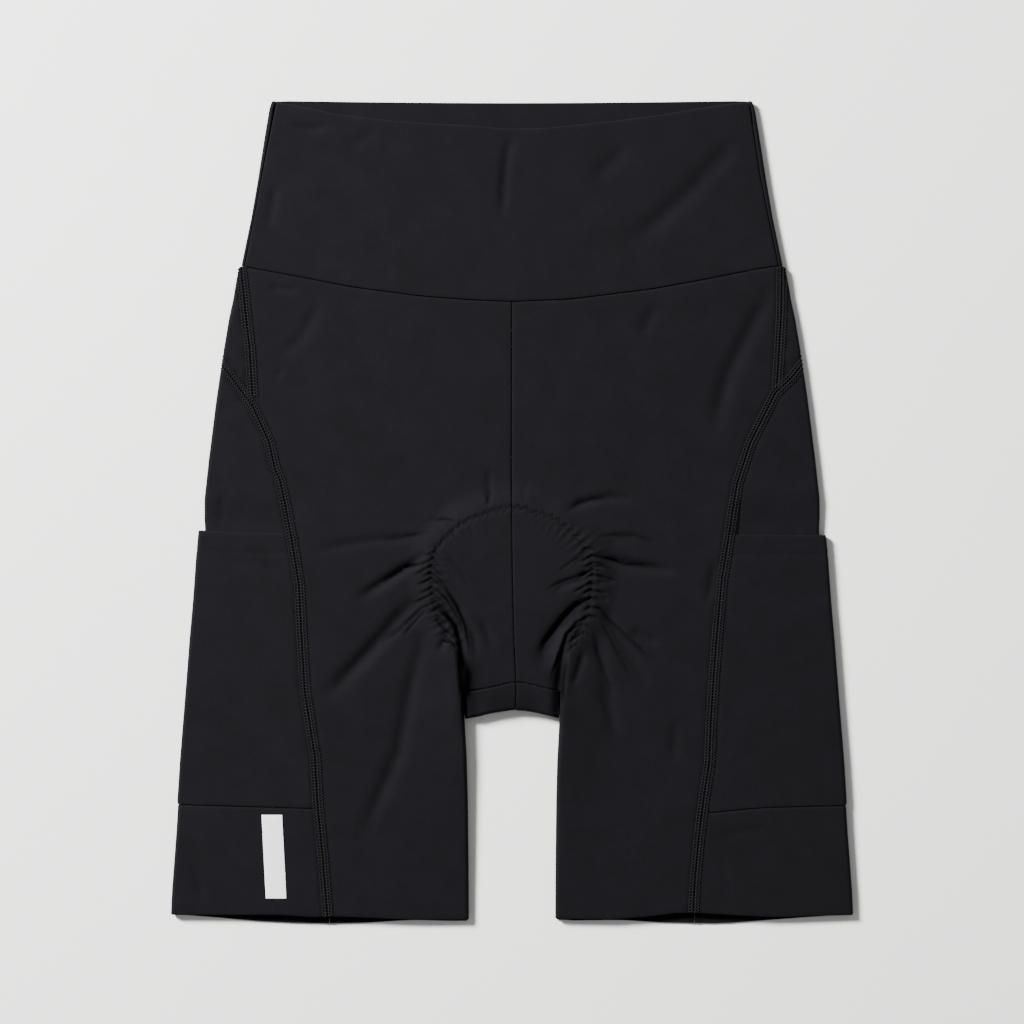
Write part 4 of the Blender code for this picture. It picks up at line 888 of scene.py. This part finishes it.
def shell(node, place, outline, groups, surface, thick=CLOTH, outward=1, raised=0.0, seams=(), relief=None,
          rings=(0.35, 0.9)):
    """A thin closed sheet of cloth that stands for a solid; returns it, its flat size and its area."""
    corners = inset(ccw(outline), 0.5 * GAP)
    edge = dense(corners + corners[:1], EDGE_STEP)[:-1]
    points, faces = triangulated(corners, edge, filled(corners, edge, groups(corners), rings))
    c, y = points[:, 0], points[:, 1]
    away, _, _ = nearest(corners + corners[:1], c, y)
    bed = bed_depth(seams, c, y)
    depth = bed + (relief(c, y) if relief else 0.0)
    normal = normals(place, c, y, outward)
    face = place(c, y) + normal * (raised - depth)[:, None]
    drop = np.minimum(np.interp(away, EDGE_DROP["distance"], EDGE_DROP["drop"]), 0.4 * thick)
    outer = face - normal * drop[:, None]
    inner = face - normal * thick
    if outward < 0:
        faces = faces[:, ::-1]
    count = len(points)
    directed = {(a, b) for f in faces.tolist() for a, b in ((f[0], f[1]), (f[1], f[2]), (f[2], f[0]))}
    rim = [(a, b) for a, b in directed if (b, a) not in directed]
    walls = [(b, a, a + count) for a, b in rim] + [(b, a + count, b + count) for a, b in rim]
    # The fold mark is painted shade for the sharp folds; the bed mark darkens the flatlock beds, partly for
    # needle holes and partly as painted shade
    marks = [("bed", np.tile(bed / BED_DEPTH, 2)), ("fold", np.tile(fold_shade(outer), 2))]
    made = mesh_object(f"{node}_cloth", np.vstack([outer, inner]),
                       np.vstack([faces, faces[:, ::-1] + count, walls]), surface, marks)
    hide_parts(node)
    sizes = np.ptp(np.array(corners), axis=0) / 1000.0
    return made, tuple(float(s) for s in sizes), signed_area(corners) / 1e6


# Panels
def band_side(side):
    return [(float(at(BAND_SIDE[side], y)), float(y)) for y in np.linspace(252.4, FOLD_WAIST_Y, 8)]


def waistband_front():
    seam = along(WAIST_SEAM, 164.6, -164.6, 33)
    outline = list(BAND_TOP) + band_side(LEFT) + seam + band_side(RIGHT)[::-1]
    return shell("waistband_front", front_face(BAND), outline,
                 lambda o: [(plain_grid(o, MEDIUM), 0.6 * MEDIUM)], KNIT, BAND_CLOTH)


def waistband_back():
    """From the groove on the front's one side, round both side folds, to the groove on the other."""
    def fold_row(side, y):
        start, arc = fold_at(BAND, side, y)
        return [(run_behind(BAND, side, start + arc * k / 6.0, y), y) for k in range(7)]
    dips = [(float(x), BAND_BACK_TOP_Y - BAND_BACK_DIP * math.cos(0.5 * math.pi * x / 138.0))
            for x in np.linspace(138.0, -138.0, 13)]
    left = to_back(BAND, LEFT, band_side(LEFT))
    right = to_back(BAND, RIGHT, band_side(RIGHT))
    outline = back_waist((-148.0, 148.0), 25) + fold_row(LEFT, FOLD_WAIST_Y)[:0:-1] + left[::-1]
    outline += fold_row(LEFT, 254.4) + dips + fold_row(RIGHT, 254.4)[::-1] + right
    outline += fold_row(RIGHT, FOLD_WAIST_Y)[1:]

    def groups(o):
        folds = [fold_grid(BAND, side, 153.0, 254.0, behind=True) for side in (RIGHT, LEFT)]
        return [(np.concatenate(folds), 0.5), (plain_grid(o, COARSE), 0.6 * COARSE)]
    return shell("waistband_back", back_face(BAND), outline, groups, KNIT, BAND_CLOTH, outward=-1,
                 relief=back_relief)


def front_panel(side):
    """Half the front with the front of one leg, whose inner edge turns down to the back."""
    waist = along(WAIST_SEAM, side * 0.02, HIP_SEAM[side][0][0], 24)
    centre = [(float(at(CENTRE_SEAM, y)), float(y)) for y in np.linspace(-105.0, 128.0, 16)]
    cross = along(CROSS_SEAM, side * 29.6, float(at(CENTRE_SEAM, -106.0)), 7)[:-1]
    hem = along(FRONT_HEM[side], SIDE_SEAM[side][-1][0], side * 30.0, 9)
    hem_end = float(leg_end(float(side), np.array(-252.0)))
    hem += [(side * run, float(at(FRONT_HEM[side], side * 27.0))) for run in np.linspace(28.0, hem_end, 5)]
    rows = (-235.0, -215.0, -195.0, -175.0, -155.0, -140.0, -128.0, -119.0)
    inner = [(side * float(leg_end(float(side), np.array(y))), y) for y in rows]
    inner.append((side * (float(leg_end(float(side), np.array(-115.0))) + 1.6), -115.0))
    outline = waist + dense(HIP_SEAM[side])[1:] + dense(SIDE_SEAM[side], 14.0)[:-1]
    outline += hem + inner + cross + centre

    def groups(o):
        fine = plain_grid(o, FINE)
        fine = fine[(np.abs(fine[:, 0]) < 66.0) & (fine[:, 1] < 9.0) & (fine[:, 1] > -112.0)]
        return [(leg_grid(side), 0.5), (fine, 0.6 * FINE), (plain_grid(o, MEDIUM), 0.75 * MEDIUM)]
    return shell(f"front_{SIDE_NAMES[side]}", front_face(FRONT), outline, groups, KNIT,
                 seams=[HIP_SEAM[side], SIDE_SEAM[side]], relief=zigzag_relief)


def pad_seam():
    """The pad's stitching on the back, from one side to the other."""
    half = list(PAD_BACK)
    return half + [(-x, y) for x, y in half[::-1][1:]]


def back_panel(side):
    """Half the back: round the hip to the front seam above the arch, with a crotch tab turned forward."""
    start, arc = fold_at(BACK, side, FOLD_WAIST_Y)
    waist = [(side * x, y) for x, y in back_waist((0.02, 150.0), 16)]
    waist += to_back(BACK, side, [(start + arc * k / 5.0, FOLD_WAIST_Y) for k in range(5, 0, -1)])
    hip = to_back(BACK, side, dense(HIP_SEAM[side]))
    runs = side_seam_runs(BACK, side, PAST_HEM)
    seam = to_back(BACK, side, runs[runs.index(SIDE_SEAM[side][0]):])
    hem = along(BACK_HEM[side], side * abs(BACK_SEAM[-1][0]), side * 27.6, 9)
    rows = (-235.0, -205.0, -180.0, -154.0, -140.0, -129.0)
    leg = [(side * (float(at(LEG_INSIDE, y)) + 0.8), y) for y in rows]
    turn, _ = crotch_turn(side * 28.0)
    tab = [(side * 29.2, turn + 0.6), (side * 28.7, turn - 2.0), (side * 27.8, turn - 10.0)]
    tip = []
    for x in np.linspace(side * 27.7, 2.5, 13):
        turn, arc = crotch_turn(x)
        tip.append((float(x), 2.0 * turn - arc - float(at(CROSS_SEAM, x * CROTCH_WIDEN))))
    centre = [(2.5, tip[-1][1] + 8.0), (2.2, tip[-1][1] + 16.0), (1.6, -122.0), (0.8, -112.0), (0.0, -95.0)]
    centre += [(0.0, float(y)) for y in np.linspace(-70.0, 135.0, 9)]
    outline = waist + hip + seam + hem + leg + tab + tip + centre

    def groups(o):
        fine = plain_grid(o, FINE)
        fine = fine[(np.abs(fine[:, 0]) < 28.0) & (fine[:, 1] < -118.0)]
        return [(fold_grid(BACK, side, 66.0, 152.0, behind=True), 0.5), (fine, 0.6 * FINE),
                (plain_grid(o, COARSE), 0.7 * COARSE)]
    return shell(f"back_{SIDE_NAMES[side]}", back_face(BACK), outline, groups, KNIT, outward=-1,
                 seams=[hip, to_back(BACK, side, runs), pad_seam()], relief=back_relief)


def side_panel(side):
    """The arched panel, which goes on under the pocket to the lower band."""
    base = level_line(UNDER, side, POCKET_BASE[side], POCKET_BASE[side], -183.0)
    outline = side_seam_runs(UNDER, side, -178.0) + base[::-1]

    def groups(o):
        shown = plain_grid(o, MEDIUM)
        shown = shown[shown[:, 1] > -24.0]
        return [(fold_grid(UNDER, side, -182.0, 108.0), 0.5), (shown, 0.7 * MEDIUM),
                (plain_grid(o, COARSE), 0.7 * COARSE)]
    return shell(f"side_{SIDE_NAMES[side]}", front_face(UNDER), outline, groups, KNIT,
                 seams=[side_seam_runs(UNDER, side, PAST_HEM)])


def outer_piece(node, side, top, base, rows, relief=None):
    """A piece between two level lines and the side panel's seams, in the outer layer."""
    front = between(dense(SIDE_SEAM[side], 14.0), *rows)
    back = on_back(OUTER, side, between(dense(BACK_SEAM, 9.0), *rows))

    def groups(o):
        folds = fold_grid(OUTER, side, rows[1] - 4.0, rows[0] + 4.0)
        return [(folds, 0.5), (plain_grid(o, MEDIUM), 0.7 * MEDIUM)]
    outline = top + back + base[::-1] + front[::-1]
    return shell(f"{node}_{SIDE_NAMES[side]}", front_face(OUTER), outline, groups, KNIT,
                 seams=[side_seam_runs(OUTER, side, PAST_HEM)], relief=relief)


def pocket(side):
    top = level_line(OUTER, side, POCKET_TOP[side], POCKET_TOP[side], -13.5)
    base = level_line(OUTER, side, POCKET_BASE[side], POCKET_BASE[side], -183.0)
    hem_x = side * 204.0
    hem = [(side * 120.0, float(at(POCKET_TOP[side], side * 120.0)) - POCKET_HEM),
           (hem_x, float(at(POCKET_TOP[side], hem_x)) - POCKET_HEM)]

    def relief(c, y):
        away, _, _ = nearest(hem, c, y)
        return POCKET_HEM_DEPTH * np.exp(-(away / POCKET_HEM_WIDTH) ** 2)
    return outer_piece("pocket", side, top, base, (-18.0, -178.0), relief)


def lower_band(side):
    base = level_line(OUTER, side, POCKET_BASE[side], POCKET_BASE[side], -183.0)
    hem = level_line(OUTER, side, FRONT_HEM[side], BACK_HEM[side], -250.0)
    return outer_piece("lower_band", side, base, hem, (-190.0, -244.0))


def pad():
    """One moulded piece, folded in the crotch between the front and the back."""
    turn = float(at(CROTCH_EDGE, 0.0)) + CLOTH + PAD_CLEARANCE + PAD_FOLD
    arc = math.pi * 0.5 * (PAD_FOLD + 0.5 * (float(pad_top(np.array(0.0), np.array(turn))) - CLOTH - GAP))
    front = between(PAD_FRONT, 99.0, -118.0)
    behind = [(x, 2.0 * turn - arc - y) for x, y in PAD_BACK]
    half = front + [(24.0, turn - 0.5 * arc)] + behind
    outline = half + [(-x, y) for x, y in half[::-1][1:-1]]

    def channels(x, v):
        """Moulded grooves that run along the pad."""
        return 0.5 * np.exp(-((np.abs(x) - 13.0) / 1.8) ** 2) + 0.3 * np.exp(-(x / 1.5) ** 2)
    made, _, _ = shell("pad", pad_face, outline, lambda o: [(plain_grid(o, COARSE), 0.6 * COARSE)], FOAM,
                       PAD_THICK, relief=channels)


def reflective_strip():
    """A plain upright bar of thin film on the right lower band."""
    outline = []
    for right, up in ((-0.5, -0.5), (0.5, -0.5), (0.5, 0.5), (-0.5, 0.5)):
        outline.append((STRIP_X + right * STRIP_WIDTH + up * STRIP_LEAN, STRIP_Y + up * STRIP_HEIGHT))
    return shell("reflective_strip", front_face(OUTER), outline,
                 lambda o: [(plain_grid(o, MEDIUM), 0.6 * MEDIUM)], FILM, STRIP_THICK, raised=STRIP_RAISED,
                 rings=(0.35,))


# Sewing
def capsules(starts, ends, ups, radius):
    """Short rounded bars with four sides between pairs of points, as one set of vertices and quads."""
    sides = 4
    axis = ends - starts
    axis = axis / np.linalg.norm(axis, axis=1, keepdims=True)
    beside = np.cross(axis, ups)
    beside = beside / np.linalg.norm(beside, axis=1, keepdims=True)
    above = np.cross(beside, axis)
    rings = []
    for share, size in CAPSULE_RINGS:
        centre = starts + (ends - starts) * share
        for k in range(sides):
            turn = 2.0 * math.pi * k / sides
            rings.append(centre + (beside * math.cos(turn) + above * math.sin(turn)) * radius * size)
    vertices = np.stack(rings, axis=1)
    count = vertices.shape[1]
    quads = [(0, 3, 2, 1), (12, 13, 14, 15)]
    for ring in range(3):
        for k in range(sides):
            a, b = ring * sides + k, ring * sides + (k + 1) % sides
            quads.append((a, b, b + sides, a + sides))
    faces = np.array(quads)[None] + (np.arange(len(starts)) * count)[:, None, None]
    return vertices.reshape(-1, 3), faces.reshape(-1, 4)


def joined(parts):
    vertices, faces, count = [], [], 0
    for points, quads in parts:
        vertices.append(points)
        faces.append(quads + count)
        count += len(points)
    return np.concatenate(vertices), np.concatenate(faces)


def on_cloth(place, places, lift, outward):
    """Places on a sheet raised by lift, or sunk further in where the sheet lies on the table."""
    c, y = places[:, 0], places[:, 1]
    points, up = place(c, y), normals(place, c, y, outward)
    rise = FLOOR_LIFT + (lift - FLOOR_LIFT) * smooth(0.0, 3.0, points[:, 2])
    return points + up * rise[:, None], up


def flatlock(name, place, line, outward=1):
    """Cross threads in two rows and needle lines along a seam."""
    length = line_length(line)
    steps = np.arange(0.5 * STITCH_PITCH, length, STITCH_PITCH)
    centre = np.array([walk(line, s)[:2] for s in steps])
    along_it = np.gradient(centre, axis=0)
    along_it /= np.linalg.norm(along_it, axis=1, keepdims=True)
    across = np.stack([-along_it[:, 1], along_it[:, 0]], axis=-1)
    parts = []
    for row in (-1.0, 1.0):
        first = centre - across * row * CROSS_OVERLAP
        last = centre + across * row * CROSS_REACH
        a, up = on_cloth(place, first, CROSS_LIFT, outward)
        b, _ = on_cloth(place, last, CROSS_LIFT, outward)
        parts.append(capsules(a, b, up, CROSS_RADIUS))
    for away in NEEDLE_LINES:
        row = centre + across * away + along_it * 0.5 * STITCH_PITCH
        a, up = on_cloth(place, row - along_it * NEEDLE_HALF, NEEDLE_LIFT, outward)
        b, _ = on_cloth(place, row + along_it * NEEDLE_HALF, NEEDLE_LIFT, outward)
        parts.append(capsules(a, b, up, NEEDLE_RADIUS))
    vertices, faces = joined(parts)
    made = mesh_object(name, vertices, faces, THREAD)
    return made


def tube(points, ups, radius):
    """A thread with six sides through points, as vertices and quads."""
    sides = 6
    ahead = np.gradient(points, axis=0)
    ahead /= np.linalg.norm(ahead, axis=1, keepdims=True)
    beside = np.cross(ahead, ups)
    beside /= np.linalg.norm(beside, axis=1, keepdims=True)
    above = np.cross(beside, ahead)
    rings = []
    for k in range(sides):
        turn = 2.0 * math.pi * k / sides
        rings.append(points + (beside * math.cos(turn) + above * math.sin(turn)) * radius)
    vertices = np.stack(rings, axis=1).reshape(-1, 3)
    quads = []
    for ring in range(len(points) - 1):
        for k in range(sides):
            a, b = ring * sides + k, ring * sides + (k + 1) % sides
            quads.append((a, b, b + sides, a + sides))
    last = (len(points) - 1) * sides
    quads += [(0, 3, 2, 1), (0, 5, 4, 3)]
    quads += [(last, last + 1, last + 2, last + 3), (last, last + 3, last + 4, last + 5)]
    return vertices, np.array(quads)


def zigzag_thread(name, place, line, outward=1):
    """The pad's zigzag line, with slightly rounded corners."""
    path = np.array(dense(zigzag(line), ZIGZAG_STEP))
    soft = path.copy()
    soft[1:-1] = 0.25 * path[:-2] + 0.5 * path[1:-1] + 0.25 * path[2:]
    points, ups = on_cloth(place, soft, ZIGZAG_LIFT, outward)
    vertices, faces = tube(points, ups, ZIGZAG_THREAD)
    # Its thread colour also carries the painted shade of the groove
    made = mesh_object(name, vertices, faces, ZIGZAG_THREAD_AND_SHADE)
    return made


# Materials
class Shader:
    """A Principled material with helpers for its procedural nodes."""

    def __init__(self, name, colour, roughness, specular, sheen=0.0):
        self.material = bpy.data.materials.new(name)
        self.material.use_nodes = True
        self.tree = self.material.node_tree
        self.shader = self.tree.nodes["Principled BSDF"]
        self.shader.inputs["Base Color"].default_value = (*colour, 1.0)
        self.shader.inputs["Roughness"].default_value = roughness
        self.shader.inputs["Specular IOR Level"].default_value = specular
        self.shader.inputs["Sheen Weight"].default_value = sheen
        self.shader.inputs["Sheen Roughness"].default_value = 0.5
        self.coordinates = self.tree.nodes.new("ShaderNodeTexCoord").outputs["Object"]

    def node(self, kind, **values):
        made = self.tree.nodes.new(kind)
        for name, value in values.items():
            setattr(made, name, value)
        return made

    def link(self, source, target):
        self.tree.links.new(source, target)

    def colour(self, source):
        self.link(source, self.shader.inputs["Base Color"])

    def noise(self, scale, detail=2.0, roughness=0.5):
        made = self.node("ShaderNodeTexNoise")
        made.inputs["Scale"].default_value = scale
        made.inputs["Detail"].default_value = detail
        made.inputs["Roughness"].default_value = roughness
        self.link(self.coordinates, made.inputs["Vector"])
        return made.outputs["Fac"]

    def sum(self, kind, first, second):
        made = self.node("ShaderNodeMath", operation=kind)
        for socket, value in zip(made.inputs, (first, second)):
            if isinstance(value, (int, float)):
                socket.default_value = value
            else:
                self.link(value, socket)
        return made.outputs[0]

    def ramp(self, value, low, high, dark, light):
        """A colour between dark and light as the value goes from low to high."""
        made = self.node("ShaderNodeValToRGB")
        made.color_ramp.elements[0].position = low
        made.color_ramp.elements[0].color = (*dark, 1.0)
        made.color_ramp.elements[1].position = high
        made.color_ramp.elements[1].color = (*light, 1.0)
        self.link(value, made.inputs["Fac"])
        return made.outputs["Color"]

    def mixed(self, share, first, second):
        made = self.node("ShaderNodeMix", data_type="RGBA")
        self.link(share, made.inputs["Factor"])
        self.link(first, made.inputs["A"])
        made.inputs["B"].default_value = (*second, 1.0)
        return made.outputs["Result"]

    def waves(self, axis, pitch):
        """Rises and falls along an axis of the cloth, from 0 to 1."""
        split = self.node("ShaderNodeSeparateXYZ")
        self.link(self.coordinates, split.inputs[0])
        turned = self.sum("SINE", self.sum("MULTIPLY", split.outputs[axis], 2000.0 * math.pi / pitch), 0.0)
        return self.sum("MULTIPLY", self.sum("ADD", turned, 1.0), 0.5)

    def bump(self, height_value, distance, strength):
        made = self.node("ShaderNodeBump")
        made.inputs["Strength"].default_value = strength
        made.inputs["Distance"].default_value = distance
        self.link(height_value, made.inputs["Height"])
        self.link(made.outputs["Normal"], self.shader.inputs["Normal"])


def knit_material():
    """Smooth interlock knit: fine wales and courses, faint mottling, painted shade in the sharp folds, and
    darker in the beds of the seams, partly needle holes and partly painted shade.
    """
    made = Shader("knit_cloth", CLOTH_COLOUR, CLOTH_ROUGHNESS, CLOTH_SPECULAR, CLOTH_SHEEN)
    dark, light = [tuple(share * c for c in CLOTH_COLOUR) for share in KNIT_TONES]
    mottle = made.sum("ADD", made.sum("MULTIPLY", made.noise(70.0, 3.0), 0.5),
                      made.sum("MULTIPLY", made.noise(900.0, 2.0), 0.5))
    colour = made.ramp(mottle, 0.36, 0.64, dark, light)
    # The bed mark darkens the flatlock beds: partly needle holes, partly painted shade
    bed = made.node("ShaderNodeAttribute", attribute_name="bed")
    colour = made.mixed(bed.outputs["Fac"], colour, BED_HOLES_AND_SHADE_COLOUR)
    # Painted shade: the fold mark darkens the colour and dims the specular and sheen in the sharp folds and
    # beside the leg ridges
    fold = made.node("ShaderNodeAttribute", attribute_name="fold")
    colour = made.mixed(fold.outputs["Fac"], colour, FOLD_SHADE_COLOUR)
    unshaded_share = made.sum("SUBTRACT", 1.0, fold.outputs["Fac"])
    for socket, most in (("Specular IOR Level", CLOTH_SPECULAR), ("Sheen Weight", CLOTH_SHEEN)):
        made.link(made.sum("MULTIPLY", unshaded_share, most), made.shader.inputs[socket])
    made.colour(colour)
    loops = made.sum("MULTIPLY", made.waves("X", WALE_PITCH), made.waves("Y", COURSE_PITCH))
    made.bump(made.sum("ADD", made.sum("MULTIPLY", loops, 0.5), made.noise(1600.0, 2.0)), 0.00005, 0.35)
    return made.material


def thread_material(name, colour, specular):
    """Textured polyester thread."""
    made = Shader(name, colour, 0.7, specular)
    dark, light = [tuple(share * c for c in colour) for share in THREAD_TONES]
    made.colour(made.ramp(made.noise(700.0, 2.0), 0.3, 0.7, dark, light))
    made.bump(made.noise(3500.0, 2.0), 0.00006, 0.5)
    return made.material


def foam_material():
    """Moulded foam under a brushed cover."""
    made = Shader("pad_cover", FOAM_COLOUR, 0.9, 0.15, 0.1)
    made.colour(made.ramp(made.noise(300.0, 3.0), 0.3, 0.7, FOAM_DARK, FOAM_LIGHT))
    made.bump(made.noise(1200.0, 2.0), 0.0001, 0.5)
    return made.material


def film_material():
    """Pale reflective film with a faint grain of glass beads."""
    made = Shader("reflective_film", FILM_COLOUR, 0.38, 0.5)
    made.colour(made.ramp(made.noise(1500.0, 2.0), 0.3, 0.7, FILM_DARK, FILM_LIGHT))
    made.bump(made.noise(4000.0, 1.0), 0.00002, 0.4)
    return made.material


# Stage
def floor():
    """A plain pale surface under the garment."""
    mesh = bpy.data.meshes.new("floor")
    half = FLOOR_HALF
    mesh.from_pydata([(-half, -half, 0.0), (half, -half, 0.0), (half, half, 0.0), (-half, half, 0.0)], [],
                     [(0, 1, 2, 3)])
    surface = Shader("floor", FLOOR_COLOUR, 0.8, 0.2)
    tone = [tuple(share * c for c in FLOOR_COLOUR) for share in (0.99, 1.01)]
    surface.colour(surface.ramp(surface.noise(3.0, 2.0), 0.3, 0.7, *tone))
    mesh.materials.append(surface.material)
    made = bpy.data.objects.new("floor", mesh)
    bpy.context.collection.objects.link(made)
    made.location.z = FLOOR_Z


def area_light(name, place, size, power, colour):
    data = bpy.data.lights.new(name, "AREA")
    data.size = size
    data.energy = power
    data.color = colour
    made = bpy.data.objects.new(name, data)
    made.location = place
    made.rotation_euler = (-Vector(place)).to_track_quat("-Z", "Y").to_euler()
    bpy.context.collection.objects.link(made)


def lights():
    for name, place, size, power, colour in LIGHTS:
        area_light(name, place, size, power, colour)
    world = bpy.data.worlds.new("studio")
    world.use_nodes = True
    world.node_tree.nodes["Background"].inputs["Color"].default_value = (*WORLD_COLOUR, 1.0)
    world.node_tree.nodes["Background"].inputs["Strength"].default_value = WORLD_STRENGTH
    bpy.context.scene.world = world


def camera():
    """Straight down with a long lens; the picture's frame is VIEW_WIDE across at the table."""
    data = bpy.data.cameras.new("camera")
    data.lens = LENS
    data.sensor_width = SENSOR
    data.clip_end = 20.0
    made = bpy.data.objects.new("camera", data)
    made.location = (VIEW_CENTRE[0] / 1000.0, VIEW_CENTRE[1] / 1000.0, VIEW_WIDE / 1000.0 * LENS / SENSOR)
    bpy.context.collection.objects.link(made)
    bpy.context.scene.camera = made


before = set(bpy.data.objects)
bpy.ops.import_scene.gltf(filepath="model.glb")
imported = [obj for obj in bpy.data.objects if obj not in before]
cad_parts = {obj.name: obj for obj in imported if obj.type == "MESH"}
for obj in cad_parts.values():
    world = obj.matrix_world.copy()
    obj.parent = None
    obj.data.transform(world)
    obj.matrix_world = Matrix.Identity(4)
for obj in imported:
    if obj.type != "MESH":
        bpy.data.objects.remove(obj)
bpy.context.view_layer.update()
KNIT = knit_material()
FOAM = foam_material()
FILM = film_material()
THREAD = thread_material("seam_thread", THREAD_COLOUR, 0.06)
ZIGZAG_THREAD_AND_SHADE = thread_material("zigzag_thread", ZIGZAG_THREAD_AND_SHADE_COLOUR, 0.1)


def sheet(made):
    """Works out the smaller of a panel's outline area and its flat box; the value is not used."""
    piece, flat, area = made
    share = min(area, flat[0] * flat[1])


def dress():
    camera()
    lights()
    floor()
    pad()
    sheet(waistband_back())
    sheet(waistband_front())
    for side in (RIGHT, LEFT):
        name = SIDE_NAMES[side]
        runs = side_seam_runs(FRONT, side, PAST_HEM)
        hip = flatlock(f"hip_flatlock_{name}", front_face(FRONT), list(HIP_SEAM[side]))
        seam = flatlock(f"side_flatlock_{name}", front_face(FRONT), runs)
        zig = zigzag_thread(f"pad_zigzag_{name}", front_face(FRONT), ZIGZAG[side])
        sheet(back_panel(side))
        sheet(front_panel(side))
        sheet(side_panel(side))
        sheet(pocket(side))
        sheet(lower_band(side))
    zigzag_thread("pad_zigzag_back", back_face(BACK), pad_seam(), -1)
    sheet(reflective_strip())


dress()
